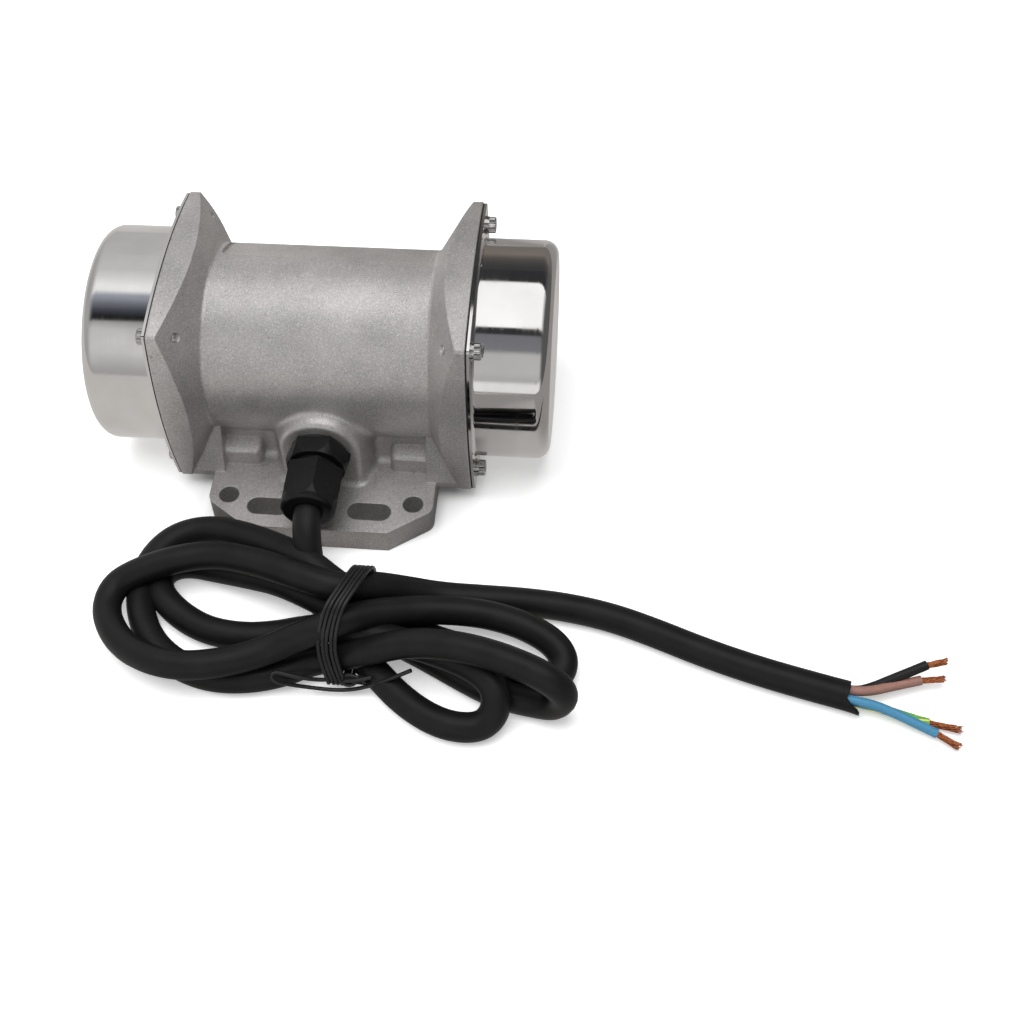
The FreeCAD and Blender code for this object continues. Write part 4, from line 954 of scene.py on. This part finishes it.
# What polished sheet sees of the room, from behind (0) over the top to the front (1): place and level.
ROOM_ON_RIGHT = [
    (0.0, (0.15, 0.14, 0.13)), (0.095, (0.178, 0.155, 0.138)), (0.15, (0.078, 0.072, 0.068)), (0.21, 0.045),
    (0.27, (0.028, 0.029, 0.032)), (0.335, 0.027), (0.345, 0.95), (0.617, 1.0), (0.627, 0.03), (0.658, 0.03),
    (0.668, (0.16, 0.163, 0.18)), (0.752, (0.18, 0.183, 0.20)), (0.775, 0.45), (0.88, 0.46), (0.93, 0.40),
    (0.95, 0.74), (1.0, 0.74)]
ROOM_ON_LEFT = [
    (0.0, 0.42), (0.20, 0.46), (0.36, 0.52), (0.416, 0.70), (0.472, 0.85), (0.500, 0.88),
    (0.530, (0.34, 0.36, 0.41)), (0.572, (0.19, 0.20, 0.235)), (0.61, (0.07, 0.075, 0.095)), (0.655, 0.012),
    (0.675, 0.02), (0.690, 0.36), (0.727, 0.52), (0.80, 0.60), (0.86, 0.60), (0.922, 0.50), (0.961, 0.42),
    (1.0, 0.35)]
STREAKS_ON_LEFT = [
    (0.0, 0.40), (0.20, 0.43), (0.36, 0.50), (0.416, 0.64), (0.472, 0.76), (0.500, 0.72),
    (0.530, (0.26, 0.28, 0.33)), (0.572, (0.14, 0.15, 0.18)), (0.61, (0.06, 0.065, 0.08)), (0.655, 0.012),
    (0.675, 0.02), (0.690, 0.26), (0.727, 0.44), (0.80, 0.50), (0.86, 0.50), (0.922, 0.42), (0.961, 0.36),
    (1.0, 0.33)]


def make_room(settings):
    """White to the camera, an even room to matt parts, and a studio with dark gaps to polished ones."""
    world = bpy.data.worlds.new("room")
    world.use_nodes = True
    bpy.context.scene.world = world
    t = Tree(world.node_tree)
    ahead = t.out(t.node("ShaderNodeTexCoord"), "Generated")
    right, back, up = t.parts(ahead)
    uneven = t.out(t.node("ShaderNodeTexNoise", {}, {"Vector": ahead, "Scale": 7.0, "Detail": 2.0}))
    over = (up.maths("ARCTAN2", up, back) / math.pi + (uneven - 0.5) * 0.022).held()
    streaks = t.out(t.node("ShaderNodeTexNoise", {}, {
        "Vector": t.vector("MULTIPLY", ahead, (60.0, 3.0, 3.0)), "Scale": 1.0, "Detail": 2.0}))
    leftward = t.mix(t.grades(streaks, 0.38, 0.66), t.ramp(over, ROOM_ON_LEFT),
                     t.ramp(over, STREAKS_ON_LEFT))
    mirrored = t.mix(t.grades(right, -0.18, -0.12), leftward, t.ramp(over, ROOM_ON_RIGHT))
    # The far right and far left of the room are plain.
    mirrored = t.mix(t.grades(right, 0.45, 0.75), mirrored, shade(0.09))
    mirrored = t.mix(t.grades(right, -0.45, -0.80), mirrored, shade(0.34))
    mirrored = t.vector("SCALE", mirrored, settings.mirrored)
    path = t.node("ShaderNodeLightPath")
    plain = t.mix(t.out(path, "Is Glossy Ray"), shade(settings.room), mirrored)
    light = t.node("ShaderNodeBackground", {}, {"Color": t.mix(t.seen(path), plain, shade(1.0))})
    t.node("ShaderNodeOutputWorld", {}, {"Surface": t.out(light)})


class MOTOR_OT_stage(bpy.types.Operator):
    """Make the camera, the floor and the soft lights"""
    bl_idname = "motor.stage"
    bl_label = "Stage"

    def execute(self, context):
        scene = context.scene
        make_camera(scene.motor_camera)
        settings = scene.motor_light
        build = bmesh.new()
        bmesh.ops.create_grid(build, x_segments=1, y_segments=1, size=FLOOR_REACH)
        floor = link("floor", mesh_of("floor", build))
        floor.location.z = -FLOOR_DROP
        floor.data.materials.append(floor_finish(settings))
        for name, (place, size, power) in SOFT_BOXES.items():
            soft_box(name, place, size, getattr(settings, power))
        make_room(settings)
        scene.view_settings.view_transform = "Standard"
        return {"FINISHED"}


# ---------------------------------------------------------------- finishes of the solid parts

class MOTOR_OT_finishes(bpy.types.Operator):
    """Give every solid part of the motor its finish"""
    bl_idname = "motor.finishes"
    bl_label = "Finishes"

    def execute(self, context):
        for name, node in NODES.items():
            node.data.materials.clear()
            node.data.materials.append(finish_of(SLOT_OF[name]))
        return {"FINISHED"}


class MOTOR_PT_panel(bpy.types.Panel):
    """Makes the pieces of the motor one by one"""
    bl_label = "Vibration motor"
    bl_idname = "MOTOR_PT_panel"
    bl_space_type = "VIEW_3D"
    bl_region_type = "UI"
    bl_category = "Motor"

    def draw(self, context):
        for operator in OPERATORS:
            self.layout.operator(operator.bl_idname)


OPERATORS = (MOTOR_OT_stage, MOTOR_OT_cable, MOTOR_OT_screws, MOTOR_OT_finishes)
SETTINGS = {"motor_camera": MotorCamera, "motor_light": MotorLight, "motor_cable": MotorCable,
            "motor_fasteners": MotorFasteners}


def register():
    for group in (*SETTINGS.values(), *OPERATORS, MOTOR_PT_panel):
        bpy.utils.register_class(group)
    for name, group in SETTINGS.items():
        setattr(bpy.types.Scene, name, bpy.props.PointerProperty(type=group))


def unregister():
    for name in SETTINGS:
        delattr(bpy.types.Scene, name)
    for group in reversed((*SETTINGS.values(), *OPERATORS, MOTOR_PT_panel)):
        bpy.utils.unregister_class(group)


def main():
    register()
    for operator in OPERATORS:
        group, name = operator.bl_idname.split(".")
        getattr(getattr(bpy.ops, group), name)()


if __name__ == "__main__":
    main()
